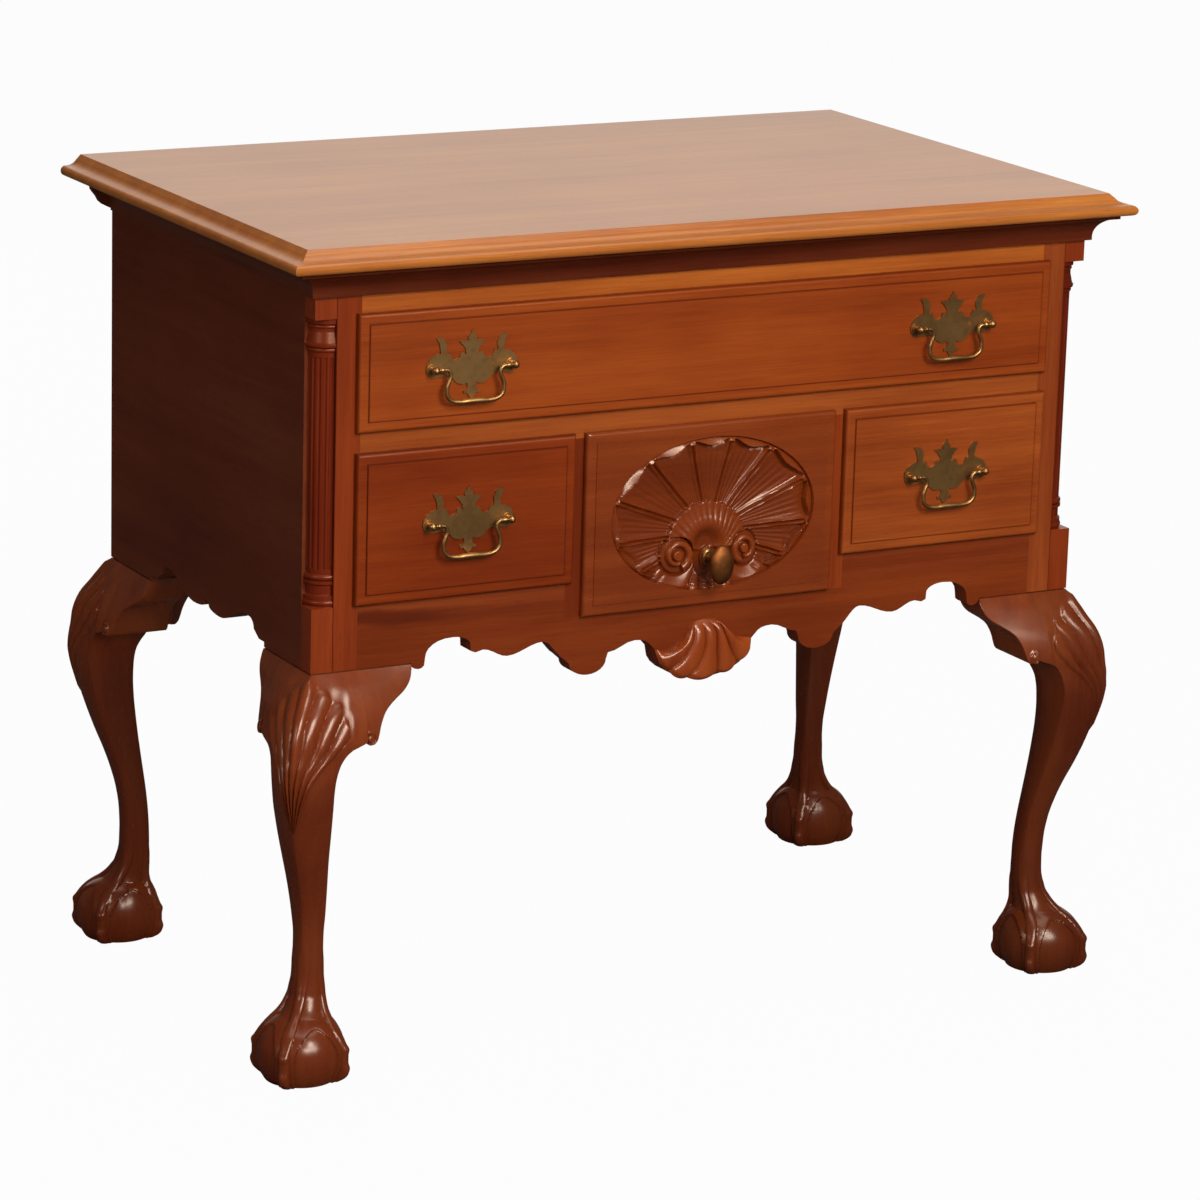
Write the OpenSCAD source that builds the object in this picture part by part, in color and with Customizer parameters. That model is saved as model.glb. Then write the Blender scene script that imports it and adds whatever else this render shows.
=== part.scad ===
// Lowboy: a mahogany dressing table with one long drawer over three short ones, on four cabriole legs.
// The origin lies on the floor under the middle of the top. X runs right, Y to the back, Z up.
// Every length is in millimetres.

/* [Case] */
// Width of the case over its side panels
case_w = 840; // [790:1:900]
// Depth of the case from the drawer rails to the back panel
case_d = 477; // [450:1:520]
// Height from the floor to the lower edge of the case
leg_h = 400; // [380:1:440]
// Thickness of the side panels
side_t = 22; // [20:0.5:25]
// Thickness of the stiles, rails and apron
rail_t = 22; // [20:0.5:25]
// Thickness of the back panel
back_t = 16; // [12:0.5:20]
// Width of the stiles, and of the leg posts behind them
stile_w = 25.5; // [22:0.5:30]
// Height of the top rail, up to the underside of the top
top_rail_h = 50.5; // [45:0.5:56]
// Height of the rail between the long drawer and the short ones
mid_rail_h = 24.5; // [20:0.5:30]
// Height of the rail under each side drawer
low_rail_h = 23.5; // [18:0.5:30]
// Height of the apron under those rails
apron_h = 38; // [34:0.5:44]
// Width of the dividers between the short drawers
divider_w = 22; // [18:0.5:26]

/* [Top] */
// Thickness of the top
top_t = 20.5; // [19:0.5:24]
// Overhang of the top at the front and at both sides
overhang = 37; // [33:0.5:44]
// Overhang of the top at the back
overhang_back = 44; // [30:0.5:60]
// Width of the moulded edge of the top
edge_w = 21.5; // [19:0.5:26]
// Radius of the nose of the moulded edge
nose_r = 5.1; // [4.2:0.1:5.6]
// Height of the cove moulding under the top
cove_h = 27.5; // [25:0.5:30]
// Projection of the cove moulding from the case
cove_p = 24.5; // [20:0.5:28]

/* [Drawers] */
// Height of the opening of the long drawer
long_h = 107.5; // [90:0.5:130]
// Height of the openings of the two side drawers
short_h = 140.5; // [120:0.5:165]
// Height of the opening of the centre drawer
centre_h = 175; // [168:0.5:178]
// Width of the opening of the centre drawer
centre_w = 264; // [250:1:290]
// How far a drawer front laps over its opening
lip_w = 5.5; // [4:0.5:7]
// How far a drawer front stands proud of the rails
lip_t = 8; // [7:0.5:10]
// Thickness of a drawer front inside its opening
front_t = 14; // [13:0.5:18]
// Thickness of the drawer sides and backs
box_t = 11; // [9:0.5:14]
// Thickness of the drawer bottoms
bottom_t = 6; // [5:0.5:8]
// Space between the shut drawers and the back panel
back_space = 46; // [15:1:120]
// Gap at each end of a drawer in its opening
drawer_gap = 1; // [0.6:0.1:2]
// Gap between a drawer and what it slides on or shuts against
slide_gap = 0.3; // [0.2:0.05:0.5]

/* [Corner columns] */
// Radius of the fluted shaft of a quarter column
shaft_r = 18; // [16:0.25:20]
// Height of the square block under a column
plinth_h = 62; // [50:0.5:75]
// Height of the square block above a column, up to the top
cap_block_h = 49; // [42:0.5:56]
// Radius of a flute
flute_r = 2; // [1.5:0.1:2.4]

/* [Legs] */
// How far the centre of the ball lies inside the corner of the case, on each side
foot_in = 5.8; // [4.5:0.1:12]
// Reach of a knee block from the corner of the case
knee_reach = 104; // [100:1:110]
// Distance from the corner at which the swell of the knee would die away
swell_reach = 205; // [150:5:300]
// Thickness of the knee blocks
knee_block_t = 37; // [24:1:44]
// How far the front left foot has splayed out to the side
splay_out = 7.4; // [0:0.2:9]
// How far the front left foot has splayed to the back
splay_back = 4.8; // [0:0.2:6]
// Radius of the flat pad under the ball
pad_r = 24; // [18:0.5:28]

/* [Pulls] */
// Distance between the two posts of a pull
post_gap = 82.5; // [80:0.5:84]
// Thickness of the pull plates
plate_t = 1.6; // [1.2:0.1:2.5]
// Radius of the ball head of a post
post_ball_r = 4; // [3.6:0.1:4.4]
// Distance from the plate to the centre of the ball head
post_stand = 8; // [7:0.25:9]
// Radius of the pin at each end of a bail
pin_r = 1.4; // [1.2:0.05:1.6]
// Running clearance of that pin in its post
pin_gap = 0.08; // [0.04:0.01:0.09]
// Radius of the bail at its shoulders
bail_r = 1.9; // [1.7:0.1:2.1]
// Radius of the bail at the middle of its grip
grip_r = 2.9; // [2.4:0.1:3.2]
// Distance from the end of the drawer front to the nearest post, on the long drawer
pull_inset = 73.75; // [70:0.25:110]
// Height of the pull posts above the middle of the opening
pull_rise = 3; // [0:0.5:8]
// Radius of the threaded shank of a post
shank_r = 2; // [1.6:0.1:2.4]
// Distance of the centre knob in front of the drawer front
knob_stand = 24; // [18:0.5:26]
// Height of the knob above the floor of the centre drawer's opening
knob_up = 45; // [42:0.5:54]
// Half width of the knob
knob_a = 13; // [10:0.5:14]
// Half height of the knob
knob_b = 19.5; // [15:0.5:21]
// Half width of the knob plate
plate_a = 6.2; // [5.6:0.1:8]
// Half height of the knob plate
plate_b = 9.6; // [8:0.1:12]
// How far the domed knob plate stands out from its seat
plate_dome = 3.6; // [2.6:0.1:4.5]

/* [Carving] */
// Half width of the carved shell on the centre drawer
shell_a = 111.5; // [105:0.5:114]
// Half height of the carved shell
shell_b = 75.5; // [70:0.5:77]
// Height of the middle of the shell above the floor of the centre drawer's opening
shell_up = 90.5; // [84:0.5:94]
// Height of the hub that its ribs run from, above the same floor
hub_up = 51; // [46:0.5:58]
// Depth of the carving
carve_d = 11; // [9:0.5:13]
// Number of ribs round the shell
shell_ribs = 19; // [13:2:21]
// Half width of the pendant shell on the apron
pendant_w = 54; // [48:0.5:60]
// Drop of the pendant shell below the case
pendant_drop = 50; // [44:0.5:56]
// How far the pendant shell stands out from the apron
pendant_t = 9; // [6:0.5:12]

/* [Hidden] */
$fn = 64;
case_h = apron_h + low_rail_h + short_h + mid_rail_h + long_h + top_rail_h;
case_top = leg_h + case_h;
half_w = case_w / 2;
top_w = case_w + 2 * overhang;
top_d = case_d + overhang + overhang_back;
y_front = overhang - top_d / 2;
y_back = y_front + case_d;
y_in = y_front + rail_t;
y_back_in = y_back - back_t;
x_in = half_w - side_t;
x_stile = x_in - stile_w;
z_low = leg_h + apron_h + low_rail_h;
z_mid = z_low + short_h;
z_centre = z_mid - centre_h;
z_long = z_mid + mid_rail_h;
z_rail = z_long + long_h;
z_cove = case_top - cove_h;
post_top_x = side_t + stile_w;
post_top_y = rail_t + stile_w;
column_h = case_h - plinth_h - cap_block_h;
// Each opening is its left end, right end, floor and top
long_opening = [-x_stile, x_stile, z_long, z_rail];
left_opening = [-x_stile, -centre_w / 2 - divider_w, z_low, z_mid];
right_opening = [centre_w / 2 + divider_w, x_stile, z_low, z_mid];
centre_opening = [-centre_w / 2, centre_w / 2, z_centre, z_mid];
y_face = y_front - lip_t;
y_ball = y_face - plate_t - post_stand;
runner_h = 20;
runner_w = 27;
tail_depth = front_t - 5;
groove_d = box_t / 2;
groove_up = 8;
thread_gap = 0.05;
shell_z = z_centre + shell_up;
hub_z = z_centre + hub_up;
knob_z = z_centre + knob_up;

// Half a cosine wave from a to b in n steps, level at both ends
function wave(a, b, n) = [for (i = [1:n])
    [a[0] + (b[0] - a[0]) * i / n, a[1] + (b[1] - a[1]) * (1 - cos(180 * i / n)) / 2]];
// A quarter of an ellipse from a, where it is level, to b, where it is upright
function fall(a, b, n) = [for (i = [1:n])
    [a[0] + (b[0] - a[0]) * sin(90 * i / n), b[1] + (a[1] - b[1]) * cos(90 * i / n)]];
// A quarter of an ellipse from a, where it is upright, to b, where it is level
function rise(a, b, n) = [for (i = [1:n])
    [b[0] + (a[0] - b[0]) * cos(90 * i / n), a[1] + (b[1] - a[1]) * sin(90 * i / n)]];
// The same outline with its points in the other order and on the other side of zero
function other_side(points) = [for (i = [len(points) - 1:-1:0]) [-points[i][0], points[i][1]]];

// A box between two corners
module block(low, high) {
    translate(low) cube(high - low);
}

// Copies a piece on the left to the right as well
module both_sides() {
    children();
    mirror([1, 0, 0]) children();
}

// An outline in X and Z, made into a board from y0 to y1
module board_xz(y0, y1, points) {
    translate([0, y1, 0]) rotate([90, 0, 0]) linear_extrude(y1 - y0) polygon(points);
}

// An outline in Y and Z, made into a board from x0 to x1
module board_yz(x0, x1, points) {
    translate([x0, 0, 0]) rotate([90, 0, 90]) linear_extrude(x1 - x0) polygon(points);
}

// Closes a list of rings with equal numbers of points into one solid, with a fan over each end
module skin(rings) {
    n = len(rings[0]);
    m = len(rings);
    ones = [for (p = rings[0]) 1];
    points = concat([for (ring = rings) each ring], [ones * rings[0] / n, ones * rings[m - 1] / n]);
    sides = [for (i = [0:m - 2], j = [0:n - 1])
        let (a = i * n + j, b = i * n + (j + 1) % n)
        each [[a, a + n, b], [b, a + n, b + n]]];
    first = [for (j = [0:n - 1]) [j, (j + 1) % n, m * n]];
    last = [for (j = [0:n - 1]) [m * n - n + (j + 1) % n, m * n - n + j, m * n + 1]];
    polyhedron(points, concat(first, sides, last), convexity = 10);
}

// Half of the section of the top, with its moulded edge on the right: slope, hollow and nose
module top_edge_section() {
    slope = 4.5;
    hollow_end = edge_w - nose_r - 1;
    hollow_w = hollow_end - slope;
    hollow_h = top_t - slope - 2 * nose_r;
    hollow_r = (hollow_w * hollow_w + hollow_h * hollow_h) / (2 * hollow_h);
    square([edge_w - nose_r, 2 * nose_r - 0.001]);
    translate([edge_w - nose_r, nose_r]) circle(nose_r);
    difference() {
        polygon([[0, 0], [0, top_t], [slope, top_t - slope], [hollow_end, top_t - slope], [hollow_end, 0]]);
        translate([hollow_end, 2 * nose_r + hollow_r]) circle(hollow_r, $fn = 120);
    }
}

module top_board() {
    flat_w = top_w - 2 * edge_w;
    color("chocolate") translate([0, 0, case_top]) intersection() {
        translate([0, top_d / 2, 0]) rotate([90, 0, 0]) linear_extrude(top_d) {
            translate([-flat_w / 2, 0]) square([flat_w, top_t]);
            translate([flat_w / 2, 0]) top_edge_section();
            mirror([1, 0]) translate([flat_w / 2, 0]) top_edge_section();
        }
        translate([-top_w / 2, 0, 0]) rotate([90, 0, 90]) linear_extrude(top_w) {
            translate([edge_w - top_d / 2, 0]) square([top_d - edge_w, top_t]);
            translate([edge_w - top_d / 2, 0]) mirror([1, 0]) top_edge_section();
        }
    }
}

// Section of the cove moulding, with the case on its left and the top above it
module cove_section() {
    fillet = 5;
    cove_r = min(cove_p - fillet, cove_h - 4.5);
    difference() {
        square([cove_p, cove_h]);
        translate([cove_p, 3.5]) circle(cove_r);
        translate([fillet, 0]) square([cove_p, 3.5]);
    }
}

module cove_front() {
    color("saddlebrown") intersection() {
        translate([-half_w - cove_p, y_front, z_cove]) mirror([0, 1, 0]) rotate([90, 0, 90])
            linear_extrude(case_w + 2 * cove_p) cove_section();
        translate([0, 0, z_cove]) linear_extrude(cove_h) polygon([[-half_w, y_front],
            [-half_w - cove_p, y_front - cove_p], [half_w + cove_p, y_front - cove_p], [half_w, y_front]]);
    }
}

// Length of the stop at the back end of each side moulding, where its hollow is left solid
stop_w = 8;

module cove_sides() {
    color("saddlebrown") both_sides() intersection() {
        translate([-half_w, y_back, z_cove]) mirror([1, 0, 0]) rotate([90, 0, 0])
            linear_extrude(case_d + cove_p) cove_section();
        translate([0, 0, z_cove]) linear_extrude(cove_h) polygon([[-half_w, y_front],
            [-half_w, y_back - stop_w], [-half_w - cove_p, y_back - stop_w], [-half_w - cove_p, y_front - cove_p]]);
    }
    color("saddlebrown") both_sides() translate([-half_w, y_back, z_cove]) mirror([1, 0, 0]) rotate([90, 0, 0])
        linear_extrude(stop_w) polygon([[0, 0], [5, 2], [12, 5.5], [16, 9], [19, 14.4], [22, 18],
            [cove_p, 21.6], [cove_p, cove_h], [0, cove_h]]);
}

// Lower edge of a side panel from its middle to the back, above the lower edge of the case
function side_edge() = let (e = case_d / 2)
    concat([[0, 13]], fall([0, 13], [5, 8.5], 3), rise([5, 8.5], [31, 3.5], 5), wave([31, 3.5], [92, 22], 8),
        fall([98, 22], [e - 128, 12], 5), [[e - 116, 5], [e - knee_reach, 5], [e - knee_reach, 0]]);

module side_panel() {
    middle = (y_front + y_back) / 2;
    half = side_edge();
    low = concat([[y_in - middle, 0]], other_side(half), half, [[y_back - middle, 0]]);
    color("sienna") board_yz(-half_w, -x_in, concat([for (p = low) [middle + p[0], leg_h + p[1]]],
        [[y_back, case_top], [y_in, case_top]]));
}

module side_panel_left() { side_panel(); }

module side_panel_right() { mirror([1, 0, 0]) side_panel(); }

module back_panel() {
    color("burlywood") block([-x_in, y_back_in, leg_h], [x_in, y_back, case_top]);
}

module stile() {
    color("sienna") block([-x_in, y_front, leg_h], [-x_stile, y_in, case_top]);
}

module stile_left() { stile(); }

module stile_right() { mirror([1, 0, 0]) stile(); }

module top_rail() {
    color("peru") block([-x_stile, y_front, z_rail], [x_stile, y_in, case_top]);
}

module middle_rail() {
    color("sienna") block([-x_stile, y_front, z_mid], [x_stile, y_in, z_long]);
}

module lower_rails() {
    color("sienna") both_sides()
        block([-x_stile, y_front, z_low - low_rail_h], [left_opening[1], y_in, z_low]);
}

module dividers() {
    color("sienna") both_sides()
        block([left_opening[1], y_front, z_centre], [-centre_w / 2, y_in, z_mid]);
}

// Lower edge of the apron from the middle to the stile, measured from the lower edge of the case
function apron_edge() = let (e = half_w - knee_reach)
    concat([[0, -pendant_drop + 2]], fall([0, -pendant_drop + 2], [pendant_w - 2, -20], 7),
        [[pendant_w - 1, -15]], rise([pendant_w + 6, -9], [76, -3], 4), wave([76, -3], [105, -12], 4),
        [[107, -18]], rise([107, -18], [127, -32], 6), fall([127, -32], [147, -19], 6),
        wave([150, -14], [176, 6], 7), wave([176, 6], [214, -4], 6), wave([214, -4], [240, 5], 5),
        [[248, 3], [253, 5]], rise([253, 11], [272, 20.5], 6), fall([274, 20.5], [e - 15, 4], 6),
        rise([e - 15, -1], [e - 8, -7], 3), fall([e - 8, -7], [e, 0], 3));

module apron() {
    half = [for (p = apron_edge()) [p[0], leg_h + p[1]]];
    z_top = z_low - low_rail_h;
    step = -left_opening[1];
    color("sienna") board_xz(y_front, y_in, concat(other_side(half), half,
        [[x_stile, leg_h], [x_stile, z_top], [step, z_top], [step, z_centre],
        [-step, z_centre], [-step, z_top], [-x_stile, z_top], [-x_stile, leg_h]]));
}

// Outline of the pendant shell at one angle from straight down: five lobes that meet in cusps
function pendant_rim(angle) = let (
        a = abs(angle),
        reach = pendant_drop + 8 - 6 * sin(2 * a) * sin(2 * a),
        lobe = 4 * abs(sin(a * 2.25 + 90)),
        tip = 1 - 0.02 * max(0, a - 76))
    (reach - 4 + lobe) * tip;
pendant_hub = 8;

// Surface of the pendant shell, one ring of points for each share of its reach
function pendant_ring(share, lift) = [for (i = [0:40])
    let (angle = -100 + 5 * i, r = 3 + (pendant_rim(angle) - 3) * share,
        squash = pendant_w / (pendant_drop + 6))
    [r * sin(angle) * squash, lift * (0.35 + 0.65 * abs(sin(angle * 2.25 + 90))), -r * cos(angle)]];

module pendant_shell() {
    levels = [[1, 0], [1, 0.55], [0.93, 0.9], [0.8, 1], [0.55, 0.95], [0.3, 0.75], [0.08, 0.5]];
    rings = [for (level = levels) [for (p = pendant_ring(level[0], level[1] * pendant_t))
        [p[0], y_front - p[1], leg_h + pendant_hub + p[2]]]];
    color("sienna") skin(rings);
}

module corner_blocks() {
    color("sienna") both_sides() {
        block([-half_w, y_front, leg_h], [-x_in, y_in, leg_h + plinth_h]);
        block([-half_w, y_front, case_top - cap_block_h], [-x_in, y_in, case_top]);
    }
}

// Turned outline of a column, from its foot up: torus, scotia, bead, shaft, bead, flare and caps
module column_section() {
    ring_r = shaft_r + 3.2;
    square([ring_r - 3.5, 7]);
    translate([ring_r - 3.5, 3.5]) circle(3.5);
    difference() {
        square([shaft_r + 2.2, 25]);
        translate([shaft_r + 5, 16]) circle(6.5);
    }
    square([shaft_r, 34]);
    translate([shaft_r - 1, 28]) circle(3.2);
    square([shaft_r, column_h]);
    translate([shaft_r - 1, column_h - 30]) circle(2.6);
    translate([0, column_h - 27]) polygon([[0, 0], [ring_r, 0], [ring_r + 0.4, 2], [ring_r - 1, 4],
        [shaft_r, 14], [shaft_r, 20], [0, 20]]);
    translate([shaft_r - 0.5, column_h - 8]) circle(1.8);
    translate([0, column_h - 5]) square([ring_r - 0.6, 5]);
}

module quarter_column() {
    color("firebrick") translate([-x_in, y_in, leg_h + plinth_h]) intersection() {
        difference() {
            rotate_extrude($fn = 96) intersection() {
                column_section();
                square([side_t, column_h]);
            }
            for (i = [0:4]) rotate([0, 0, 189 + 18 * i])
                translate([shaft_r + 0.7, 0, 36]) cylinder(h = column_h - 73, r = flute_r, $fn = 32);
        }
        block([-side_t, -rail_t, 0], [0, 0, column_h]);
    }
}

module quarter_column_left() { quarter_column(); }

module quarter_column_right() { mirror([1, 0, 0]) quarter_column(); }

// How far the knee swells past the case on each side, by the drop below the case
knee_curve = [[0, 0], [6, 5], [14, 11.2], [26, 18], [38, 25], [48, 28.9], [56, 31], [64, 32.3]];
function knee_swell(drop) = lookup(drop, knee_curve);
// The swell falls off along the knee block, away from the corner of the case
function swell_at(along, drop) = knee_swell(drop)
    * (along <= 0 ? 1 : (1 + cos(180 * min(1, along / swell_reach))) / 2);

// Places round a leg section, in each quarter turn from one arris to the next
steps_round = [0, 0.09, 0.2, 0.35, 0.5, 0.65, 0.8, 0.91];
// A point at s outward along the diagonal of the leg and t across it
function on_diagonal(s, t, z) = [(t - s) / sqrt(2), (-s - t) / sqrt(2), z];

// Ring through the square top of the leg, which swells forward as the knee blocks do
function knee_ring(drop) = let (
        f = knee_swell(drop),
        arris = min(6, 0.6 + f),
        tx = post_top_x,
        ty = post_top_y,
        z = leg_h - drop,
        front = [for (s = steps_round) if (s > 0) let (x = -f + arris + (tx + f - arris) * (s - 0.09) / 0.91)
            [x, -swell_at(x, drop), z]],
        side = [for (s = steps_round) if (s > 0) let (y = -f + arris + (ty + f - arris) * (s - 0.09) / 0.91)
            [-swell_at(y, drop), y, z]],
        fx = -swell_at(tx, drop),
        fy = -swell_at(ty, drop))
    concat([[-f + arris * 0.29, -f + arris * 0.29, z]], front,
        [for (s = steps_round) [tx, fx + (ty - fx) * s, z]],
        [for (s = steps_round) [tx + (fy - tx) * s, ty, z]],
        [[fy, ty, z]], [for (i = [len(side) - 1:-1:0]) side[i]]);

// Stations of the shank: drop below the case, outer arris, inner arris, half width, fullness
shank = [[74, 47.2, -42, 38.5, 1.1], [84, 48, -33, 35, 1.2], [96, 47.7, -27.2, 32.4, 1.3],
    [110, 45, -25, 31.2, 1.35], [126, 40, -24.4, 29.8, 1.4], [144, 33, -25.2, 27.8, 1.45],
    [162, 26, -27, 25.4, 1.5], [182, 17.5, -29.5, 22.9, 1.55], [202, 8, -32.4, 20.5, 1.6],
    [222, 0, -35.5, 18.2, 1.65], [242, -6, -38.5, 16.1, 1.7], [262, -9.3, -40.8, 14.5, 1.8]];
function shank_ring(station) = let (
        middle = (station[1] + station[2]) / 2,
        a = (station[1] - station[2]) / 2,
        power = 2 / station[4])
    [for (quarter = [0:3], s = steps_round) let (turn = 90 * (quarter + s))
        on_diagonal(middle + a * sign(cos(turn)) * pow(abs(cos(turn)), power),
            station[3] * sign(sin(turn)) * pow(abs(sin(turn)), power), leg_h - station[0])];

// Stations of the foot: height, reach of the talons, reach between them, shift inward, talon angle
foot = [[120, 15.6, 14.2, 18, 45], [104, 15.9, 14.4, 18, 45], [88, 17, 15.2, 17.2, 45],
    [77, 19.2, 16.8, 15, 45], [68, 23.5, 20, 11.5, 45], [61, 28.5, 24.5, 7.5, 45],
    [54, 34, 30.5, 3, 38], [48, 38, 35.5, 1.5, 30], [42, 43, 37.3, 0.5, 22], [35, 48, 39.6, 0, 18],
    [28, 48.5, 40.6, 0, 18], [20, 50, 40.6, 0, 18], [12, 48.5, 39.3, 0, 19], [5, 43, 36, 0, 20],
    [0.6, 35, 32, 0, 22]];
function foot_ring(station) = let (middle = -foot_in * sqrt(2) - station[3])
    [for (quarter = [0:3], s = steps_round) let (
            turn = 90 * (quarter + s),
            off = 90 * min(s, 1 - s),
            r = station[2] + (station[1] - station[2]) * pow(max(0, 1 - off / station[4]), 1.2))
        on_diagonal(middle + r * cos(turn), r * sin(turn), station[0])];

// A leg that has gone out of true leans evenly from under the knee down to the foot
splay_start = 60;
splay_run = 220;
function splayed(ring, splay) = [for (p = ring)
    let (k = min(1, max(0, (leg_h - p[2] - splay_start) / splay_run)))
    [p[0] - splay[0] * k, p[1] + splay[1] * k, p[2]]];

// One leg, with the corner of the case at its origin: foot, shank, knee, the post inside the case,
// and the flat pad under the ball
module cabriole_leg(splay = [0, 0]) {
    post = [[side_t, rail_t, leg_h], [post_top_x, post_top_y, case_top]];
    color("sienna") {
        skin(concat([for (i = [len(foot) - 1:-1:0]) splayed(foot_ring(foot[i]), splay)],
            [for (i = [len(shank) - 1:-1:0]) splayed(shank_ring(shank[i]), splay)],
            [for (i = [len(knee_curve) - 1:-1:0]) knee_ring(knee_curve[i][0])]));
        block(post[0], post[1]);
        translate([foot_in - splay[0], foot_in + splay[1], 0]) cylinder(h = 4, r = pad_r);
    }
}

// Lower outline of a knee block: distance from the corner of the case, and drop below it
knee_block_edge = [[post_top_x, 64.5], [50, 66.2], [54, 66.3], [57.5, 63], [59.5, 57.5], [62, 52],
    [65.3, 46.3], [70, 39.5], [76.5, 34], [84, 29.3], [92, 24.5], [knee_reach - 6, 19], [knee_reach - 2, 12.5],
    [knee_reach, 6]];

// A knee block of thickness t, glued to a leg and under the lower edge of the case
module knee_block(t, start) {
    levels = [0, 0.14, 0.3, 0.46, 0.64, 0.82, 1];
    color("sienna") skin([for (i = [0:len(knee_block_edge) - 1]) let (
            x = i == 0 ? start : knee_block_edge[i][0],
            drop = knee_block_edge[i][1])
        concat([for (k = levels) [x, -swell_at(x, drop * k), leg_h - drop * k]],
            [[x, t, leg_h - drop], [x, t, leg_h]])]);
}

// Puts what is drawn for the front left corner of the case at one of its four corners
module at_corner(right, back) {
    translate([right ? half_w : -half_w, back ? y_back : y_front, 0])
        mirror([right ? 1 : 0, 0, 0]) mirror([0, back ? 1 : 0, 0]) children();
}

module leg_front_left() { at_corner(false, false) cabriole_leg([splay_out, splay_back]); }

module leg_front_right() { at_corner(true, false) cabriole_leg(); }

module leg_back_left() { at_corner(false, true) cabriole_leg(); }

module leg_back_right() { at_corner(true, true) cabriole_leg(); }

module knee_pair() {
    knee_block(knee_block_t, post_top_x);
    mirror([1, -1, 0]) knee_block(knee_block_t, post_top_y);
}

module knee_blocks_front() {
    at_corner(false, false) knee_pair();
    at_corner(true, false) knee_pair();
}

module knee_blocks_back() {
    at_corner(false, true) knee_pair();
    at_corner(true, true) knee_pair();
}

// A runner along the inside of a side panel, notched round the posts, with its top at z
module side_runner(z, h) {
    color("burlywood") {
        block([-x_stile, y_in, z - h], [-x_stile + runner_w, y_back_in, z]);
        block([-x_in, y_in + stile_w, z - h], [-x_stile, y_back - post_top_y, z]);
    }
}

module upper_runners() { both_sides() side_runner(z_long, mid_rail_h); }

module lower_runners() {
    both_sides() {
        side_runner(z_low, low_rail_h);
        color("burlywood") {
            block([left_opening[1] - runner_w, y_in, z_low - low_rail_h], [left_opening[1], y_back_in, z_low]);
            block([-centre_w / 2, y_in, z_centre - runner_h], [-centre_w / 2 + runner_w, y_back_in, z_centre]);
        }
    }
}

// Guides: strips between the posts, and a board behind each divider that carries the runners
module drawer_guides() {
    guide_h = 24;
    color("burlywood") both_sides() {
        for (z = [z_long, z_low])
            block([-x_in, y_in + stile_w, z], [-x_stile, y_back - post_top_y, z + guide_h]);
        block([left_opening[1], y_in, z_centre - runner_h], [-centre_w / 2, y_back_in, z_low + guide_h]);
    }
}

// Strips over the drawer sides that keep an open drawer level
module kickers() {
    color("burlywood") both_sides() {
        block([-x_stile, y_in, z_rail], [-x_stile + runner_w, y_back_in, z_rail + runner_h]);
        block([left_opening[1] - runner_w, y_in, z_mid], [-centre_w / 2 + runner_w, y_back_in, z_mid + runner_h]);
    }
}

// Height of the sides of the drawer in an opening
function side_height(o) = o[3] - o[2] - 8;
// Where the sides of a drawer start and end
y_shoulder = y_front + front_t;
y_box_back = y_back_in - back_space;

// Dovetails at the end of a drawer side: y at their root, their length, which way they point, height
function tail_points(y, length, way, z0, h) = let (
        count = max(2, round(h / 27)),
        pitch = h / count,
        root = pitch * 0.22,
        end = pitch * 0.31)
    [for (i = [0:count - 1]) let (z = z0 + pitch * (i + 0.5))
        [[y, z - root], [y + way * length, z - end], [y + way * length, z + end], [y, z + root]]];

// Dovetails of the left side of a drawer, at the front and at the back
module tails(o) {
    z0 = o[2] + slide_gap;
    x0 = o[0] + drawer_gap;
    for (tail = tail_points(y_shoulder, tail_depth, -1, z0, side_height(o)))
        board_yz(x0, x0 + box_t, tail);
    for (tail = tail_points(y_box_back - box_t, box_t, 1, z0, side_height(o)))
        board_yz(x0, x0 + box_t, tail);
}

// Does the same at both ends of a drawer
module both_ends(o) {
    middle = (o[0] + o[1]) / 2;
    children();
    translate([2 * middle, 0, 0]) mirror([1, 0, 0]) children();
}

// The board under a drawer, as wide as its grooves; also used to cut them
module bottom_board(o, extra) {
    z = o[2] + slide_gap + groove_up;
    block([o[0] + drawer_gap + box_t - groove_d, y_shoulder - groove_d, z],
        [o[1] - drawer_gap - box_t + groove_d, y_box_back, z + bottom_t + extra]);
}

// Section across the moulded lip of a drawer front: w wide, from its back face to its front
module lip_section(w) {
    round_r = 3.5;
    bead_w = 10.5;
    translate([round_r, 0]) square([w - 2 * round_r, lip_t - 1 - slide_gap]);
    square([w, lip_t - 1 - slide_gap - round_r]);
    for (x = [round_r, w - round_r]) translate([x, lip_t - 1 - slide_gap - round_r]) circle(round_r);
    translate([bead_w, 0]) square([w - 2 * bead_w, lip_t - slide_gap]);
}

module drawer_front(o) {
    w = o[1] - o[0] + 2 * lip_w;
    z0 = o[2] + slide_gap;
    h = o[3] + lip_w - z0;
    y_lip = y_front - slide_gap;
    color("sienna") difference() {
        union() {
            intersection() {
                translate([o[0] - lip_w, y_lip, z0]) mirror([0, 1, 0]) rotate([0, 0, 0])
                    linear_extrude(h) lip_section(w);
                translate([o[0] - lip_w, y_lip, z0]) rotate([0, 0, 0]) rotate([0, -90, 180])
                    linear_extrude(w) lip_section(h);
            }
            block([o[0] + drawer_gap, y_lip - 0.001, z0],
                [o[1] - drawer_gap, y_shoulder, o[3] - drawer_gap]);
        }
        both_ends(o) tails(o);
        bottom_board(o, 0.2);
    }
}

module drawer_sides(o) {
    z0 = o[2] + slide_gap;
    color("burlywood") both_ends(o) difference() {
        union() {
            block([o[0] + drawer_gap, y_shoulder, z0],
                [o[0] + drawer_gap + box_t, y_box_back - box_t, z0 + side_height(o)]);
            tails(o);
        }
        bottom_board(o, 0.2);
    }
}

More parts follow.
